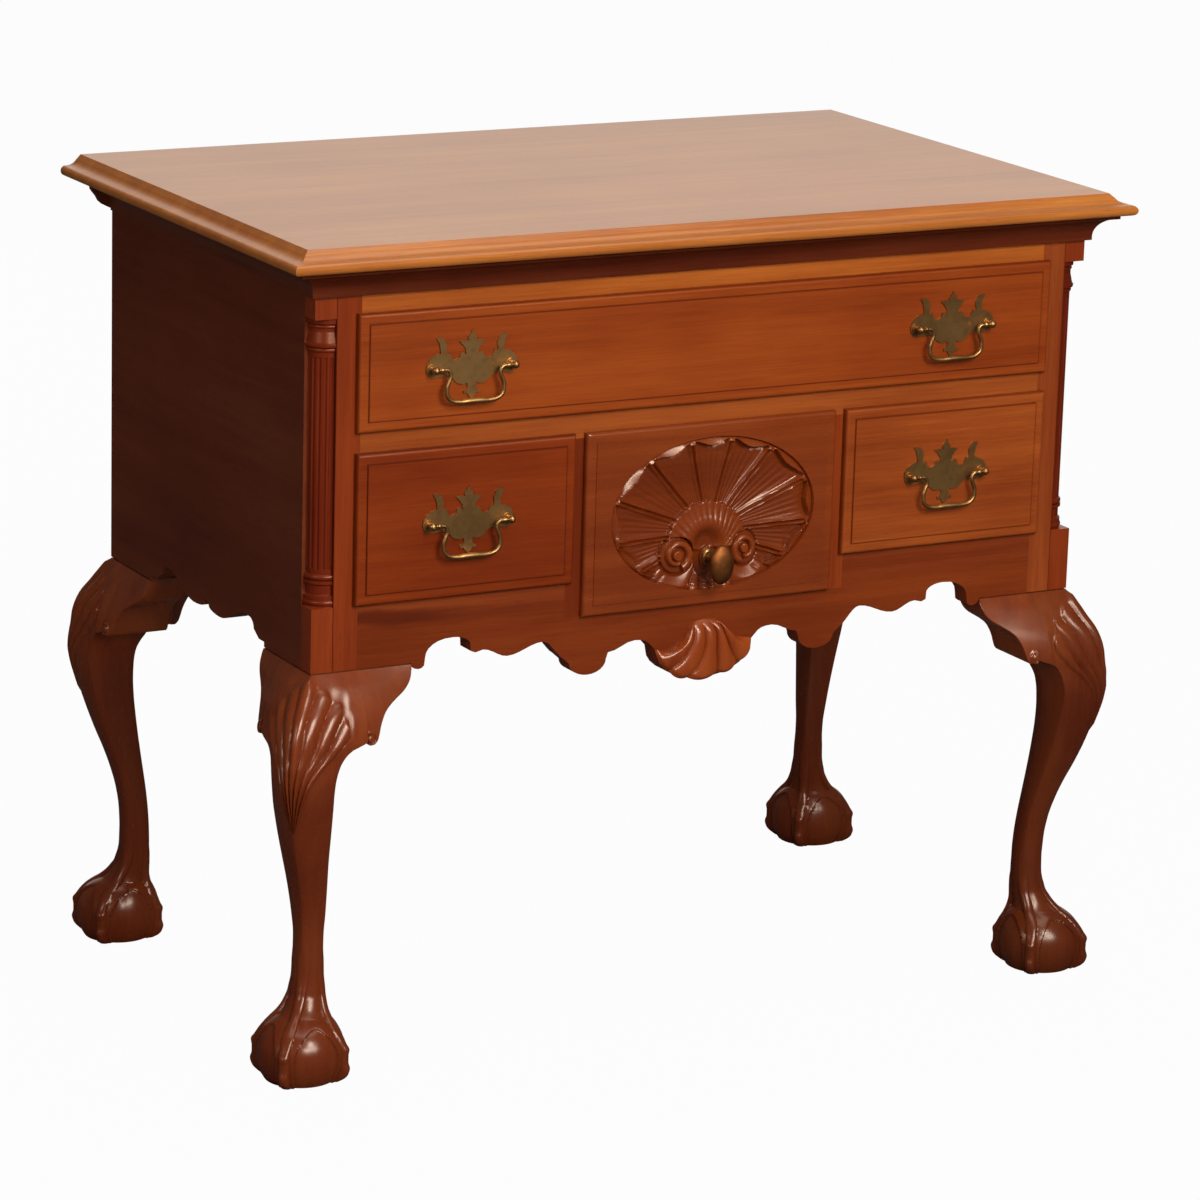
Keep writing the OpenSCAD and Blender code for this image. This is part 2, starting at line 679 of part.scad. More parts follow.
module drawer_back(o) {
    z0 = o[2] + slide_gap;
    color("burlywood") difference() {
        block([o[0] + drawer_gap, y_box_back - box_t, z0 + groove_up + bottom_t + 0.2],
            [o[1] - drawer_gap, y_box_back, z0 + side_height(o)]);
        both_ends(o) tails(o);
    }
}

module drawer_bottom(o) {
    color("wheat") bottom_board(o, 0);
}

module long_drawer_front() { pull_holes(long_pulls) drawer_front(long_opening); }

module long_drawer_sides() { drawer_sides(long_opening); }

module long_drawer_back() { drawer_back(long_opening); }

module long_drawer_bottom() { drawer_bottom(long_opening); }

module left_drawer_front() { pull_holes([left_pull]) drawer_front(left_opening); }

module left_drawer_sides() { drawer_sides(left_opening); }

module left_drawer_back() { drawer_back(left_opening); }

module left_drawer_bottom() { drawer_bottom(left_opening); }

module right_drawer_front() { pull_holes([right_pull]) drawer_front(right_opening); }

module right_drawer_sides() { drawer_sides(right_opening); }

module right_drawer_back() { drawer_back(right_opening); }

module right_drawer_bottom() { drawer_bottom(right_opening); }

// Distance from the hub of the carved shell to its oval rim, at an angle from straight right
function shell_rim(turn) = let (
        dz = hub_z - shell_z,
        ca = cos(turn) / shell_a,
        sa = sin(turn) / shell_b,
        a = ca * ca + sa * sa,
        b = dz * sin(turn) / (shell_b * shell_b),
        c = dz * dz / (shell_b * shell_b) - 1)
    (sqrt(b * b - a * c) - b) / a;
// Depth of the carving at a share of that distance: a dish with ribs round a raised inner shell
function carving(share, turn) = let (
        rib = abs(sin(turn * shell_ribs / 2)),
        dish = share > 0.5 ? sin(180 * (1.08 - share)) : 1)
    share > 0.42 ? 1.2 + (carve_d - 3.5) * dish + 2 * (1 - rib) * dish
        : 3 + (carve_d - 3) * pow(1 - share / 0.42, 1.4) + (1 - rib) * 1.2 * share;

module centre_drawer_front() {
    shares = [0.1, 0.2, 0.3, 0.4, 0.425, 0.46, 0.56, 0.68, 0.8, 0.9, 0.97, 1];
    turns = [for (i = [0:75]) 360 * i / 76];
    mouth = [for (turn = turns) let (r = shell_rim(turn)) [r * cos(turn), y_face - 1, hub_z + r * sin(turn)]];
    floors = [for (share = shares) [for (turn = turns) let (r = shell_rim(turn) * share)
        [r * cos(turn), y_face + (share < 0.15 ? carve_d : carving(share, turn)), hub_z + r * sin(turn)]]];
    difference() {
        drawer_front(centre_opening);
        difference() {
            skin(concat(floors, [mouth]));
            skin([oval(boss[0], boss[1], y_shoulder), oval(boss[0], boss[1], y_boss)]);
        }
        skin([oval(boss[0], boss[1], y_boss), oval(boss[0], boss[1], y_face - 1)]);
        knob_bore();
    }
}

module centre_drawer_sides() { drawer_sides(centre_opening); }

module centre_drawer_back() { drawer_back(centre_opening); }

module centre_drawer_bottom() { drawer_bottom(centre_opening); }

// Middle of each pull: across, and its height
long_pulls = [for (way = [-1, 1]) [way * (x_stile + lip_w - pull_inset - post_gap / 2),
    (z_long + z_rail) / 2 + pull_rise]];
left_pull = [(left_opening[0] + left_opening[1]) / 2, (z_low + z_mid) / 2 + pull_rise];
right_pull = [-left_pull[0], left_pull[1]];

// Right half of the outline of a pull plate, from its finial down, about the line of the posts
plate_half = [[0, 34.5], [1.8, 31], [4.6, 27.2], [3.6, 24.6], [6.5, 25], [13.4, 24.2], [9.6, 20.8], [6.8, 16.5],
    [5.9, 11], [9.2, 13.6], [12.2, 12.8], [12.6, 9], [17, 6.6], [21, 8.2], [23.4, 14.4], [25.8, 12.6],
    [27.2, 15], [26, 21.5], [28.4, 26.4], [32, 29.2], [37.2, 28.6], [34.6, 24.6], [33, 18.5], [33, 14],
    [39, 12.2], [44, 9], [46.8, 4.8], [47.5, 0], [46.4, -4.4], [43.2, -7.6], [38, -8.8], [30, -7.6],
    [23.5, -8.2], [19.8, -10.2], [17, -13.6], [13.4, -16], [8.8, -16.8], [5.2, -15.6], [4, -18.4],
    [5.2, -21.8], [8.7, -23.2], [7.6, -25.6], [4.4, -25.2], [3, -28], [0, -31]];

module pull_plate(pull) {
    color("darkgoldenrod") translate([pull[0], y_face, pull[1]]) difference() {
        rotate([90, 0, 0]) linear_extrude(plate_t)
            polygon(concat(other_side([for (i = [1:len(plate_half) - 2]) plate_half[i]]), plate_half));
        for (way = [-1, 1]) translate([way * post_gap / 2, 1, 0]) rotate([90, 0, 0])
            cylinder(h = plate_t + 2, r = shank_r + 0.1, $fn = 32);
    }
}

// Cuts the shank holes of these pulls through a drawer front
module pull_holes(pulls) {
    difference() {
        children();
        for (pull = pulls, way = [-1, 1])
            translate([pull[0] + way * post_gap / 2, y_shoulder + 1, pull[1]]) rotate([90, 0, 0])
                cylinder(h = lip_t + front_t + 2, r = shank_r + 0.1, $fn = 32);
    }
}

// A post: ball head with a bore for the pin of the bail, neck, collar, and shank through the front
module pull_post(pull, way) {
    inward = -way;
    color("darkgoldenrod") translate([pull[0] + way * post_gap / 2, y_ball, pull[1]]) difference() {
        union() {
            rotate([90, 90, 0]) sphere(post_ball_r, $fn = 48);
            rotate([-90, 0, 0]) cylinder(h = post_stand - 1, r = 2.4, $fn = 32);
            translate([0, post_stand - 1.2, 0]) rotate([-90, 0, 0]) cylinder(h = 1.2, r = 4.6, $fn = 32);
            translate([0, post_stand - 1, 0]) rotate([-90, 0, 0])
                cylinder(h = plate_t + lip_t + front_t + 6, r = shank_r, $fn = 32);
        }
        translate([way * 2.4, 0, 0]) rotate([0, 90 * inward, 0])
            cylinder(h = post_ball_r + 4, r = pin_r + pin_gap, $fn = 32);
    }
}

// A square nut on the shank, behind the drawer front
module pull_nut(pull, way) {
    color("goldenrod") translate([pull[0] + way * post_gap / 2, y_shoulder, pull[1]]) difference() {
        translate([-4.5, 0, -4.5]) cube([9, 3, 9]);
        translate([0, -1, 0]) rotate([-90, 0, 0]) cylinder(h = 5, r = shank_r + thread_gap, $fn = 32);
    }
}

// Middle line of half a bail and its thickness there: across, drop, radius
bail_x = post_gap / 2;
bail_line = [[bail_x - 5.4, 0, pin_r + 0.3], [bail_x - 8, 0, bail_r], [bail_x - 12, -0.3, bail_r],
    [bail_x - 14.6, -2.6, bail_r], [bail_x - 15.4, -6.5, bail_r], [bail_x - 13.6, -11.5, 2],
    [bail_x - 11.6, -17.5, 2.1], [bail_x - 11.8, -23.5, 2.1], [bail_x - 15, -28.4, 2.1],
    [bail_x - 20.5, -31, 2.2], [bail_x - 28, -31.6, 2.4], [bail_x - 35, -31.3, grip_r - 0.1], [0, -31.2, grip_r]];
bail_sides = 12;

// The grip and necks of a bail, swept along its middle line, with a pin into each post
module bail(pull) {
    half = [for (i = [0:len(bail_line) - 2]) bail_line[i]];
    line = concat([for (p = half) [-p[0], p[1], p[2]]], [bail_line[len(bail_line) - 1]],
        [for (i = [len(half) - 1:-1:0]) half[i]]);
    last = len(line) - 1;
    rings = [for (i = [0:last]) let (
            before = line[max(0, i - 1)],
            after = line[min(last, i + 1)],
            along = [after[0] - before[0], after[1] - before[1]] / norm([after[0] - before[0], after[1] - before[1]]))
        [for (k = [0:bail_sides - 1]) let (turn = 360 * k / bail_sides, r = line[i][2])
            [line[i][0] - along[1] * r * cos(turn), -r * sin(turn), line[i][1] + along[0] * r * cos(turn)]]];
    color("darkgoldenrod") translate([pull[0], y_ball, pull[1]]) {
        skin(rings);
        for (way = [-1, 1]) translate([way * (bail_x - 5.6), 0, 0]) rotate([0, 90 * way, 0])
            cylinder(h = 6.6, r = pin_r, $fn = 32);
    }
}

module plates_long_drawer() { for (pull = long_pulls) pull_plate(pull); }

module plate_left_drawer() { pull_plate(left_pull); }

module plate_right_drawer() { pull_plate(right_pull); }

module posts_long_drawer() { for (pull = long_pulls, way = [-1, 1]) pull_post(pull, way); }

module posts_left_drawer() { for (way = [-1, 1]) pull_post(left_pull, way); }

module posts_right_drawer() { for (way = [-1, 1]) pull_post(right_pull, way); }

module nuts_long_drawer() { for (pull = long_pulls, way = [-1, 1]) pull_nut(pull, way); }

module nuts_left_drawer() { for (way = [-1, 1]) pull_nut(left_pull, way); }

module nuts_right_drawer() { for (way = [-1, 1]) pull_nut(right_pull, way); }

module bail_long_left() { bail(long_pulls[0]); }

module bail_long_right() { bail(long_pulls[1]); }

module bail_left_drawer() { bail(left_pull); }

module bail_right_drawer() { bail(right_pull); }

// The carving leaves a flat boss that the knob plate is seated on: its depth, and its half width and height
y_boss = y_face + carve_d - 4;
boss = [plate_a + 0.5, plate_b + 0.5];

module knob_bore() {
    translate([0, y_shoulder + 1, knob_z]) rotate([90, 0, 0])
        cylinder(h = lip_t + front_t + 2, r = shank_r + 0.1, $fn = 32);
}

// An oval of half width a and half height b at depth y
function oval(a, b, y) = [for (i = [0:27]) [a * cos(360 * i / 28), y, knob_z + b * sin(360 * i / 28)]];

module centre_knob() {
    y_knob = y_face - knob_stand;
    color("darkgoldenrod") {
        skin([for (level = [[0.25, 8], [0.5, 5.5], [0.92, 3], [1, 0.5], [0.88, -2], [0.66, -4], [0.27, -4.8]])
            oval(knob_a * level[0], knob_b * level[0], y_knob + level[1])]);
        translate([0, y_knob + 6, knob_z]) rotate([-90, 0, 0])
            cylinder(h = y_boss - plate_dome - y_knob - 6, r1 = 3, r2 = 4, $fn = 32);
        translate([0, y_boss - plate_dome - 0.5, knob_z]) rotate([-90, 0, 0])
            cylinder(h = y_shoulder + 5 - y_boss + plate_dome + 0.5, r = shank_r, $fn = 32);
    }
}

module knob_plate() {
    color("darkgoldenrod") difference() {
        skin([for (level = [[1, 0], [1, 0.3], [0.9, 0.75], [0.76, 1]])
            oval(plate_a * level[0], plate_b * level[0], y_boss - plate_dome * level[1])]);
        knob_bore();
    }
}

module knob_nut() { pull_nut([-post_gap / 2, knob_z], 1); }

top_board();
cove_front();
cove_sides();
side_panel_left();
side_panel_right();
back_panel();
stile_left();
stile_right();
top_rail();
middle_rail();
lower_rails();
dividers();
apron();
pendant_shell();
corner_blocks();
quarter_column_left();
quarter_column_right();
leg_front_left();
leg_front_right();
leg_back_left();
leg_back_right();
knee_blocks_front();
knee_blocks_back();
upper_runners();
lower_runners();
drawer_guides();
kickers();
long_drawer_front();
long_drawer_sides();
long_drawer_back();
long_drawer_bottom();
left_drawer_front();
left_drawer_sides();
left_drawer_back();
left_drawer_bottom();
centre_drawer_front();
centre_drawer_sides();
centre_drawer_back();
centre_drawer_bottom();
right_drawer_front();
right_drawer_sides();
right_drawer_back();
right_drawer_bottom();
plates_long_drawer();
plate_left_drawer();
plate_right_drawer();
posts_long_drawer();
posts_left_drawer();
posts_right_drawer();
nuts_long_drawer();
nuts_left_drawer();
nuts_right_drawer();
bail_long_left();
bail_long_right();
bail_left_drawer();
bail_right_drawer();
centre_knob();
knob_plate();
knob_nut();
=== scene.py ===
"""A mahogany lowboy: a long drawer over three short ones, on cabriole legs with claw and ball feet."""
import math

import bmesh
import bpy
import numpy as np
from mathutils import Matrix, Vector


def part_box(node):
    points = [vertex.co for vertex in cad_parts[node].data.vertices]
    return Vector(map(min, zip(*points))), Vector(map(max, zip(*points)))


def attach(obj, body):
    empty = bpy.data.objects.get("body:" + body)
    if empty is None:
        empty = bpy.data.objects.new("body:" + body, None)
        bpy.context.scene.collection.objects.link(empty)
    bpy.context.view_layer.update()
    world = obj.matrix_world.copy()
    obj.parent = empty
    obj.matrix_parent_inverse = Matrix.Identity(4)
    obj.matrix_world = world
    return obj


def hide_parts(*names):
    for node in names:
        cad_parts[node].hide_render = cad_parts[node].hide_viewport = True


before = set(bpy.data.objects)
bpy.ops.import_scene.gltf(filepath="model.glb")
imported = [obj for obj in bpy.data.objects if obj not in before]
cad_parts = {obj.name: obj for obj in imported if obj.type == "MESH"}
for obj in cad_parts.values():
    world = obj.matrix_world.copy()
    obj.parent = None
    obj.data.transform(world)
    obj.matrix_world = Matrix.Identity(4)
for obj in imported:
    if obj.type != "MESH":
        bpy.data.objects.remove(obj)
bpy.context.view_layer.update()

# Case
# The case is made of mahogany boards: two sides, stiles, rails, dividers and an apron under the front.
# They are tenoned and glued flush, so only fine joint lines show. The finish is rubbed shellac.
# Each board is the solid of the CAD model, in its own tone of wood; the darker tone of the sides is partly
# painted shade.


class Wire:
    """One socket of a material, with the signs of arithmetic."""

    def __init__(self, tree, socket=None):
        self.tree = tree
        self.socket = socket

    def node(self, kind, settings=None, sockets=None, out=0):
        """Adds a node. Its settings come first, then the value or link of each socket.

        The stops of a ramp are its first, its last, and then those between.
        """
        made = self.tree.nodes.new(kind)
        for name, value in (settings or {}).items():
            if name == "stops":
                for index, (place, colour) in enumerate(value):
                    stops = made.color_ramp.elements
                    stop = stops[index] if index < 2 else stops.new(place)
                    stop.position = place
                    stop.color = (*colour, 1)
            else:
                setattr(made, name, value)
        for name, value in (sockets or {}).items():
            if isinstance(value, Wire):
                self.tree.links.new(value.socket, made.inputs[name])
            else:
                made.inputs[name].default_value = value
        return Wire(self.tree, made.outputs[out])

    def math(self, operation, *values):
        return self.node("ShaderNodeMath", {"operation": operation}, dict(enumerate(values)))

    def __add__(self, other):
        return self.math("ADD", self, other)

    def __sub__(self, other):
        return self.math("SUBTRACT", self, other)

    def __rsub__(self, other):
        return self.math("SUBTRACT", other, self)

    def __mul__(self, other):
        return self.math("MULTIPLY", self, other)

    __radd__ = __add__
    __rmul__ = __mul__

    def band(self, low, high):
        """0 below low and 1 above high, smooth in between."""
        return self.node("ShaderNodeMapRange", {"interpolation_type": "SMOOTHSTEP"},
                         {0: self, 1: low, 2: high, 3: 0.0, 4: 1.0})

    def mix(self, first, second):
        """Mixes two colours by this value."""
        colours = [v if isinstance(v, Wire) else (*v, 1) for v in (first, second)]
        return self.node("ShaderNodeMix", {"data_type": "RGBA", "clamp_factor": True},
                         {0: self, 6: colours[0], 7: colours[1]}, out=2)

    def noise(self, scale, size=1.0, detail=3.0, rough=0.5, shift=(0, 0, 0)):
        """Noise on this vector, stretched by a scale for each axis."""
        moved = self.node("ShaderNodeVectorMath", {"operation": "MULTIPLY_ADD"},
                          {0: self, 1: scale, 2: shift})
        return self.node("ShaderNodeTexNoise", None, {"Vector": moved, "Scale": size, "Detail": detail,
                                                      "Roughness": rough})


def surface(name):
    """A new material, the wire that its nodes start from, and its main shader node."""
    material = bpy.data.materials.new(name)
    material.use_nodes = True
    tree = material.node_tree
    shader = next(n for n in tree.nodes if n.type == "BSDF_PRINCIPLED")
    return material, Wire(tree), shader


def finish_with(wire, shader, sockets):
    """Sets each socket of the shader to a value, or links a wire to it."""
    for name, value in sockets.items():
        if isinstance(value, Wire):
            wire.tree.links.new(value.socket, shader.inputs[name])
        else:
            shader.inputs[name].default_value = value


def mahogany(name, along, tone, seed=0.0, figure=1.0, gloss=0.28, shade=None,
             sheen=(1, 0.66, 0.42), shine=0.5, pores=1.0, wax=0.0):
    """Mahogany of a mean colour with its grain along one axis. Stripes, fibres and pores lie over one another.

    A seed picks another board. Figure is the strength of the stripes, and pores that of the fibres and flecks.
    Gloss is the roughness of the polish, sheen the colour and shine the strength of what it mirrors, and wax a
    coat on top. Shade takes the place on the board to how far it is darkened there: by old polish and knots on
    some boards, and by painted shade on others.
    """
    material, wire, shader = surface(name)
    place = wire.node("ShaderNodeTexCoord", out=3)
    shift = (seed * 7.3, seed * 3.1, seed * 5.7)

    def stretch(long_way, cross_way):
        """How fine a pattern is along the grain and across it, in waves to the metre."""
        return tuple(long_way if axis == along else cross_way for axis in "XYZ")

    def tinted(power):
        """The tone made lighter or darker. Darker wood is redder too."""
        return (tone[0] * power, tone[1] * power ** 1.6, tone[2] * power ** 1.7)

    cloud = place.noise((1, 1, 1), size=5, detail=2, shift=shift)
    stripes = place.noise(stretch(1.3, 26), shift=shift)
    ribbons = place.noise(stretch(4, 100), rough=0.6, shift=shift)
    fibres = place.noise(stretch(16, 620), rough=0.6, shift=shift)
    flecks = place.noise(stretch(60, 1300), detail=2, shift=shift).band(0.62, 0.74)
    broad = 0.5 + ((stripes - 0.5) * 1.1 + (cloud - 0.5) * 0.9) * figure
    grain = broad + (ribbons - 0.5) * 0.6 + (fibres - 0.5) * (0.7 * pores)
    tones = [(0.05, tinted(0.66)), (0.95, tinted(1.34)), (0.5, tone)]
    colour = wire.node("ShaderNodeValToRGB", {"stops": tones}, {0: grain})
    colour = (flecks * (0.4 * pores)).mix(colour, tinted(0.4))
    if shade:
        colour = shade(place).mix(colour, tinted(0.36))
    height = fibres * 0.5 - flecks * 0.8
    bump = wire.node("ShaderNodeBump", None, {"Strength": 0.1 * pores, "Distance": 0.0006, "Height": height})
    rough = gloss + fibres * (0.1 * pores) + flecks * (0.1 * pores)
    finish_with(wire, shader, {"Base Color": colour, "Roughness": rough, "Normal": bump,
                               "Specular Tint": (*sheen, 1), "Specular IOR Level": shine,
                               "Coat Weight": wax, "Coat Roughness": 0.28})
    return material


def dress(node, material, bevel=0.0006):
    """Gives a node its material, and rounds its edges a little as sanding does. The bevel is in metres."""
    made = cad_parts[node]
    made.data.materials.clear()
    made.data.materials.append(material)
    if bevel:
        eased = made.modifiers.new("eased", "BEVEL")
        eased.width = bevel
        eased.segments = 2
        eased.limit_method = "ANGLE"
        eased.angle_limit = math.radians(40)
    return made


def old_knot(place):
    """Darker wood round a knot near the left end of the rail under the left drawer."""
    x, z = (place.node("ShaderNodeSeparateXYZ", None, {0: place}, out=out) for out in (0, 2))
    wander = place.noise((9, 1, 40), rough=0.6)
    down = (z - 0.4475 + (x + 0.36) * 0.05 + (wander - 0.5) * 0.02) * 90
    return (1 - down * down).band(0.1, 1.1) * (1 - (x + 0.33).band(0.0, 0.14)) * 0.8


def left_divider_painted_shade(place):
    """Painted shade: the left divider is darker than the right one, for the shadow that falls on it."""
    return (0 - place.node("ShaderNodeSeparateXYZ", None, {0: place})).band(-0.01, 0.01) * 0.6


def stile_joint(place):
    """Old polish has darkened the joint between a stile and the corner blocks."""
    x = place.node("ShaderNodeSeparateXYZ", None, {0: place})
    return 1 - (0.398 - x.math("ABSOLUTE", x)).band(0.0003, 0.0013)


# The sides face away from the lamps: their dark tone is partly darker wood and partly painted shade.
for node in ("side_panel_left", "side_panel_right"):
    dress(node, mahogany("mahogany_" + node, "Y", (0.11, 0.018, 0.005), 1.7, figure=0.7))
UPRIGHTS = (("stile_left", (0.18, 0.022, 0.003), stile_joint),
            ("stile_right", (0.22, 0.038, 0.0065), stile_joint),
            ("dividers", (0.22, 0.031, 0.0043), left_divider_painted_shade),
            ("corner_blocks", (0.185, 0.023, 0.0035), None))
for index, (node, tone, shade) in enumerate(UPRIGHTS):
    dress(node, mahogany("mahogany_" + node, "Z", tone, 2 + index, shade=shade))
dress("top_rail", mahogany("mahogany_top_rail", "X", (0.335, 0.074, 0.0095), 7, figure=0.7))
dress("middle_rail", mahogany("mahogany_middle_rail", "X", (0.265, 0.052, 0.008), 8, figure=0.7))
dress("lower_rails", mahogany("mahogany_lower_rails", "X", (0.175, 0.026, 0.0044), 9, shade=old_knot))
dress("apron", mahogany("mahogany_apron", "X", (0.16, 0.0222, 0.003), 10))

# Top
# The top is one wide mahogany board with an ogee worked on its front and side edges. A cove moulding is glued
# under it on the same three sides. The board is faded by light and waxed, so it is paler than the case.

COVE_BEVEL = 0.0004
dress("top_board", mahogany("mahogany_top", "X", (0.37, 0.108, 0.016), 12, figure=0.5, gloss=0.3,
                            sheen=(1, 0.9, 0.74), wax=0.4))
# The dark tone of the cove holds painted shade, for the shadow under the overhang of the top.
dress("cove_front", mahogany("mahogany_cove_front", "X", (0.09, 0.0118, 0.0027), 13), COVE_BEVEL)
dress("cove_sides", mahogany("mahogany_cove_sides", "Y", (0.085, 0.0155, 0.0043), 14), COVE_BEVEL)

# Quarter columns
# A quarter column of dark mahogany is glued into the notch at each front corner, between the corner blocks.
# Four such columns are turned and fluted as one, and then split.

for node in ("quarter_column_left", "quarter_column_right"):
    dress(node, mahogany("mahogany_" + node, "Z", (0.117, 0.01, 0.0015), 15), bevel=0)

# Legs
# Each cabriole leg is carved from one mahogany post: a shell on the knee, a slim ankle, and a claw that grips
# a ball. Its square top runs up inside the corner of the case, and two knee blocks are glued beside it.

# Shapes from here on are drawn in millimetres. LEG_H is the height of the underside of the case, POST the width
# of the square top of a leg, FADE how far from the corner its swell dies out, and FOOT_IN how far the middle
# of the foot's ball stands in from the corner. FACE and BACKSIDE are the points across an outer or inner side.
MM = 0.001
LEG_H = 400
POST = 47.5
FADE = 205
FOOT_IN = 5.8
FACE, BACKSIDE = 78, 34


def through(knots, at):
    """A smooth curve through rows of knots, without overshoot. A row is a place and the values there."""
    knots = np.array(knots, float)
    knots = knots[np.argsort(knots[:, 0])]
    x, y = knots[:, 0], knots[:, 1:]
    step = np.diff(x)[:, None]
    slope = np.diff(y, axis=0) / step
    same = slope[:-1] * slope[1:] > 0
    inner = np.where(same, 2 * slope[:-1] * slope[1:] / np.where(same, slope[:-1] + slope[1:], 1), 0)
    tangent = np.vstack([slope[:1], inner, slope[-1:]])
    at = np.clip(np.asarray(at, float), x[0], x[-1])
    i = np.clip(np.searchsorted(x, at) - 1, 0, len(x) - 2)
    h = step[i]
    u = ((at - x[i])[..., None]) / h
    values = (y[i] * (1 + 2 * u) * (1 - u) ** 2 + tangent[i] * h * u * (1 - u) ** 2
              + y[i + 1] * u * u * (3 - 2 * u) + tangent[i + 1] * h * u * u * (u - 1))
    return [values[..., k] for k in range(values.shape[-1])]


def smooth_step(value, low, high):
    """0 at low and 1 at high, smooth in between."""
    u = np.clip((value - low) / (high - low), 0, 1)
    return u * u * (3 - 2 * u)


def swell(drop):
    """How far the knee stands out past the case on each side, by the drop below the case."""
    return through([(0, 0), (6, 5), (14, 11.2), (26, 18), (38, 25), (48, 28.9), (56, 31), (64, 32.3), (80, 33)],
                   drop)[0]


def swell_at(along, drop):
    """The same at a place along the side, where it dies out away from the corner."""
    return swell(drop) * (1 + np.cos(np.pi * np.clip(along / FADE, 0, 1))) / 2


def on_diagonal(out, across):
    """Turns a place out from the case's corner and across that line into x and y."""
    return (across - out) / math.sqrt(2), (-out - across) / math.sqrt(2)


def knee_section(z, quarter, part):
    """Ring through the square top of the leg. Quarters 0 and 3 are its two outer faces."""
    drop = LEG_H - z
    full = swell(np.array(drop))
    inner = through([(0, POST), (63.4, POST), (66.2, 42), (68.8, 34.4), (72.4, 28.2), (76.7, 23.5), (82, 19.5)],
                    drop)[0]
    arris = 1.2
    span = inner + full - arris
    run = -full + arris + span * part
    outer = -swell_at(run, drop)
    corner = -swell_at(inner, drop)
    back_run = -full + arris + span * (1 - part)
    sides = [quarter == 0, quarter == 1, quarter == 2]
    x = np.select(sides, [run, inner, inner + (corner - inner) * part], -swell_at(back_run, drop))
    y = np.select(sides, [outer, corner + (inner - corner) * part, inner], back_run)
    return x, y


def shank_section(z, quarter, part):
    """Ring through the curved shank: its outer and inner reach, half its width across, and its fullness."""
    outer, inner, half, fullness = through([
        (340, 46, -56, 44.5, 1.05), (326, 47.2, -42, 38.6, 1.1), (316, 48, -33, 34.8, 1.15),
        (304, 47.7, -27.2, 32.6, 1.2), (290, 45, -25, 31.2, 1.24), (274, 40, -24.4, 30, 1.28),
        (256, 33, -25.2, 28.1, 1.3), (238, 26, -27, 25.9, 1.32), (218, 17.5, -29.5, 23.3, 1.34),
        (198, 8, -32.4, 21, 1.36), (178, 0, -35.5, 18.9, 1.4), (158, -6, -38.5, 17, 1.45),
        (138, -9.3, -40.8, 15.2, 1.52), (120, -10.4, -42, 15, 1.6)], z)
    turn = (quarter + part) * np.pi / 2
    middle, reach = (outer + inner) / 2, (outer - inner) / 2
    power = 2 / fullness
    return on_diagonal(middle + reach * np.sign(np.cos(turn)) * np.abs(np.cos(turn)) ** power,
                       half * np.sign(np.sin(turn)) * np.abs(np.sin(turn)) ** power)


# The radius of the ball in the claw, and the height of its middle.
BALL_R, BALL_H = 41.6, 24


def foot_section(z, quarter, part):
    """Ring through the foot: a ball, a web of skin that ends over it in arches, and four knuckled talons.

    The table gives how far the middle stands in, and the reach of the web, the reach and the width of a talon.
    """
    turn = (quarter + part) * np.pi / 2
    off_talon = 90 * np.minimum(part, 1 - part)
    off_middle = 45 - off_talon
    back_in, web, talon, width = through([
        (118, 18, 14.6, 15.4, 6), (104, 18, 14.8, 15.8, 6), (98, 17.8, 14.9, 16, 6),
        (90, 17.3, 15.2, 17.2, 6.2), (86, 16.6, 15.4, 18, 6.2), (80, 15.6, 15.8, 19, 6.2),
        (74, 13.4, 17, 21, 6.2), (68, 10.9, 18.6, 23.5, 6.2), (62, 8, 21.5, 27.5, 6.2),
        (56, 4.4, 26, 33, 6.4), (50, 2, 31.8, 38, 6.4), (44, 1, 37, 42.4, 6), (38, 0.3, 40.6, 46, 5.7),
        (32, 0, 42.4, 49.6, 5.9), (26, 0, 43, 48.6, 5.6), (20, 0, 43, 48.6, 5.6), (13, 0, 42.5, 50.4, 5.9),
        (7, 0, 41, 48.6, 5.6), (3, 0, 38, 45, 5), (0, 0, 36, 40, 4.5)], z)
    ball = math.sqrt(max(BALL_R ** 2 - (z - BALL_H) ** 2, 1))
    arch = np.where(off_middle < 33, BALL_H + 31 * np.sqrt(np.clip(1 - (off_middle / 33) ** 2, 0, 1)), -5)
    bare = smooth_step(arch - z, -0.8, 1.2)
    ground = ball * bare + np.maximum(web, ball + 2.8 if z < 62 else 0) * (1 - bare)
    across = np.radians(off_talon) * talon
    ridge = np.sqrt(np.clip(1 - (across / width) ** 2, 0, 1)) ** 0.8
    reach = ground + np.clip(talon - ground, 0, None) * ridge
    middle = -FOOT_IN * math.sqrt(2) - back_in
    return on_diagonal(middle + reach * np.cos(turn), reach * np.sin(turn))


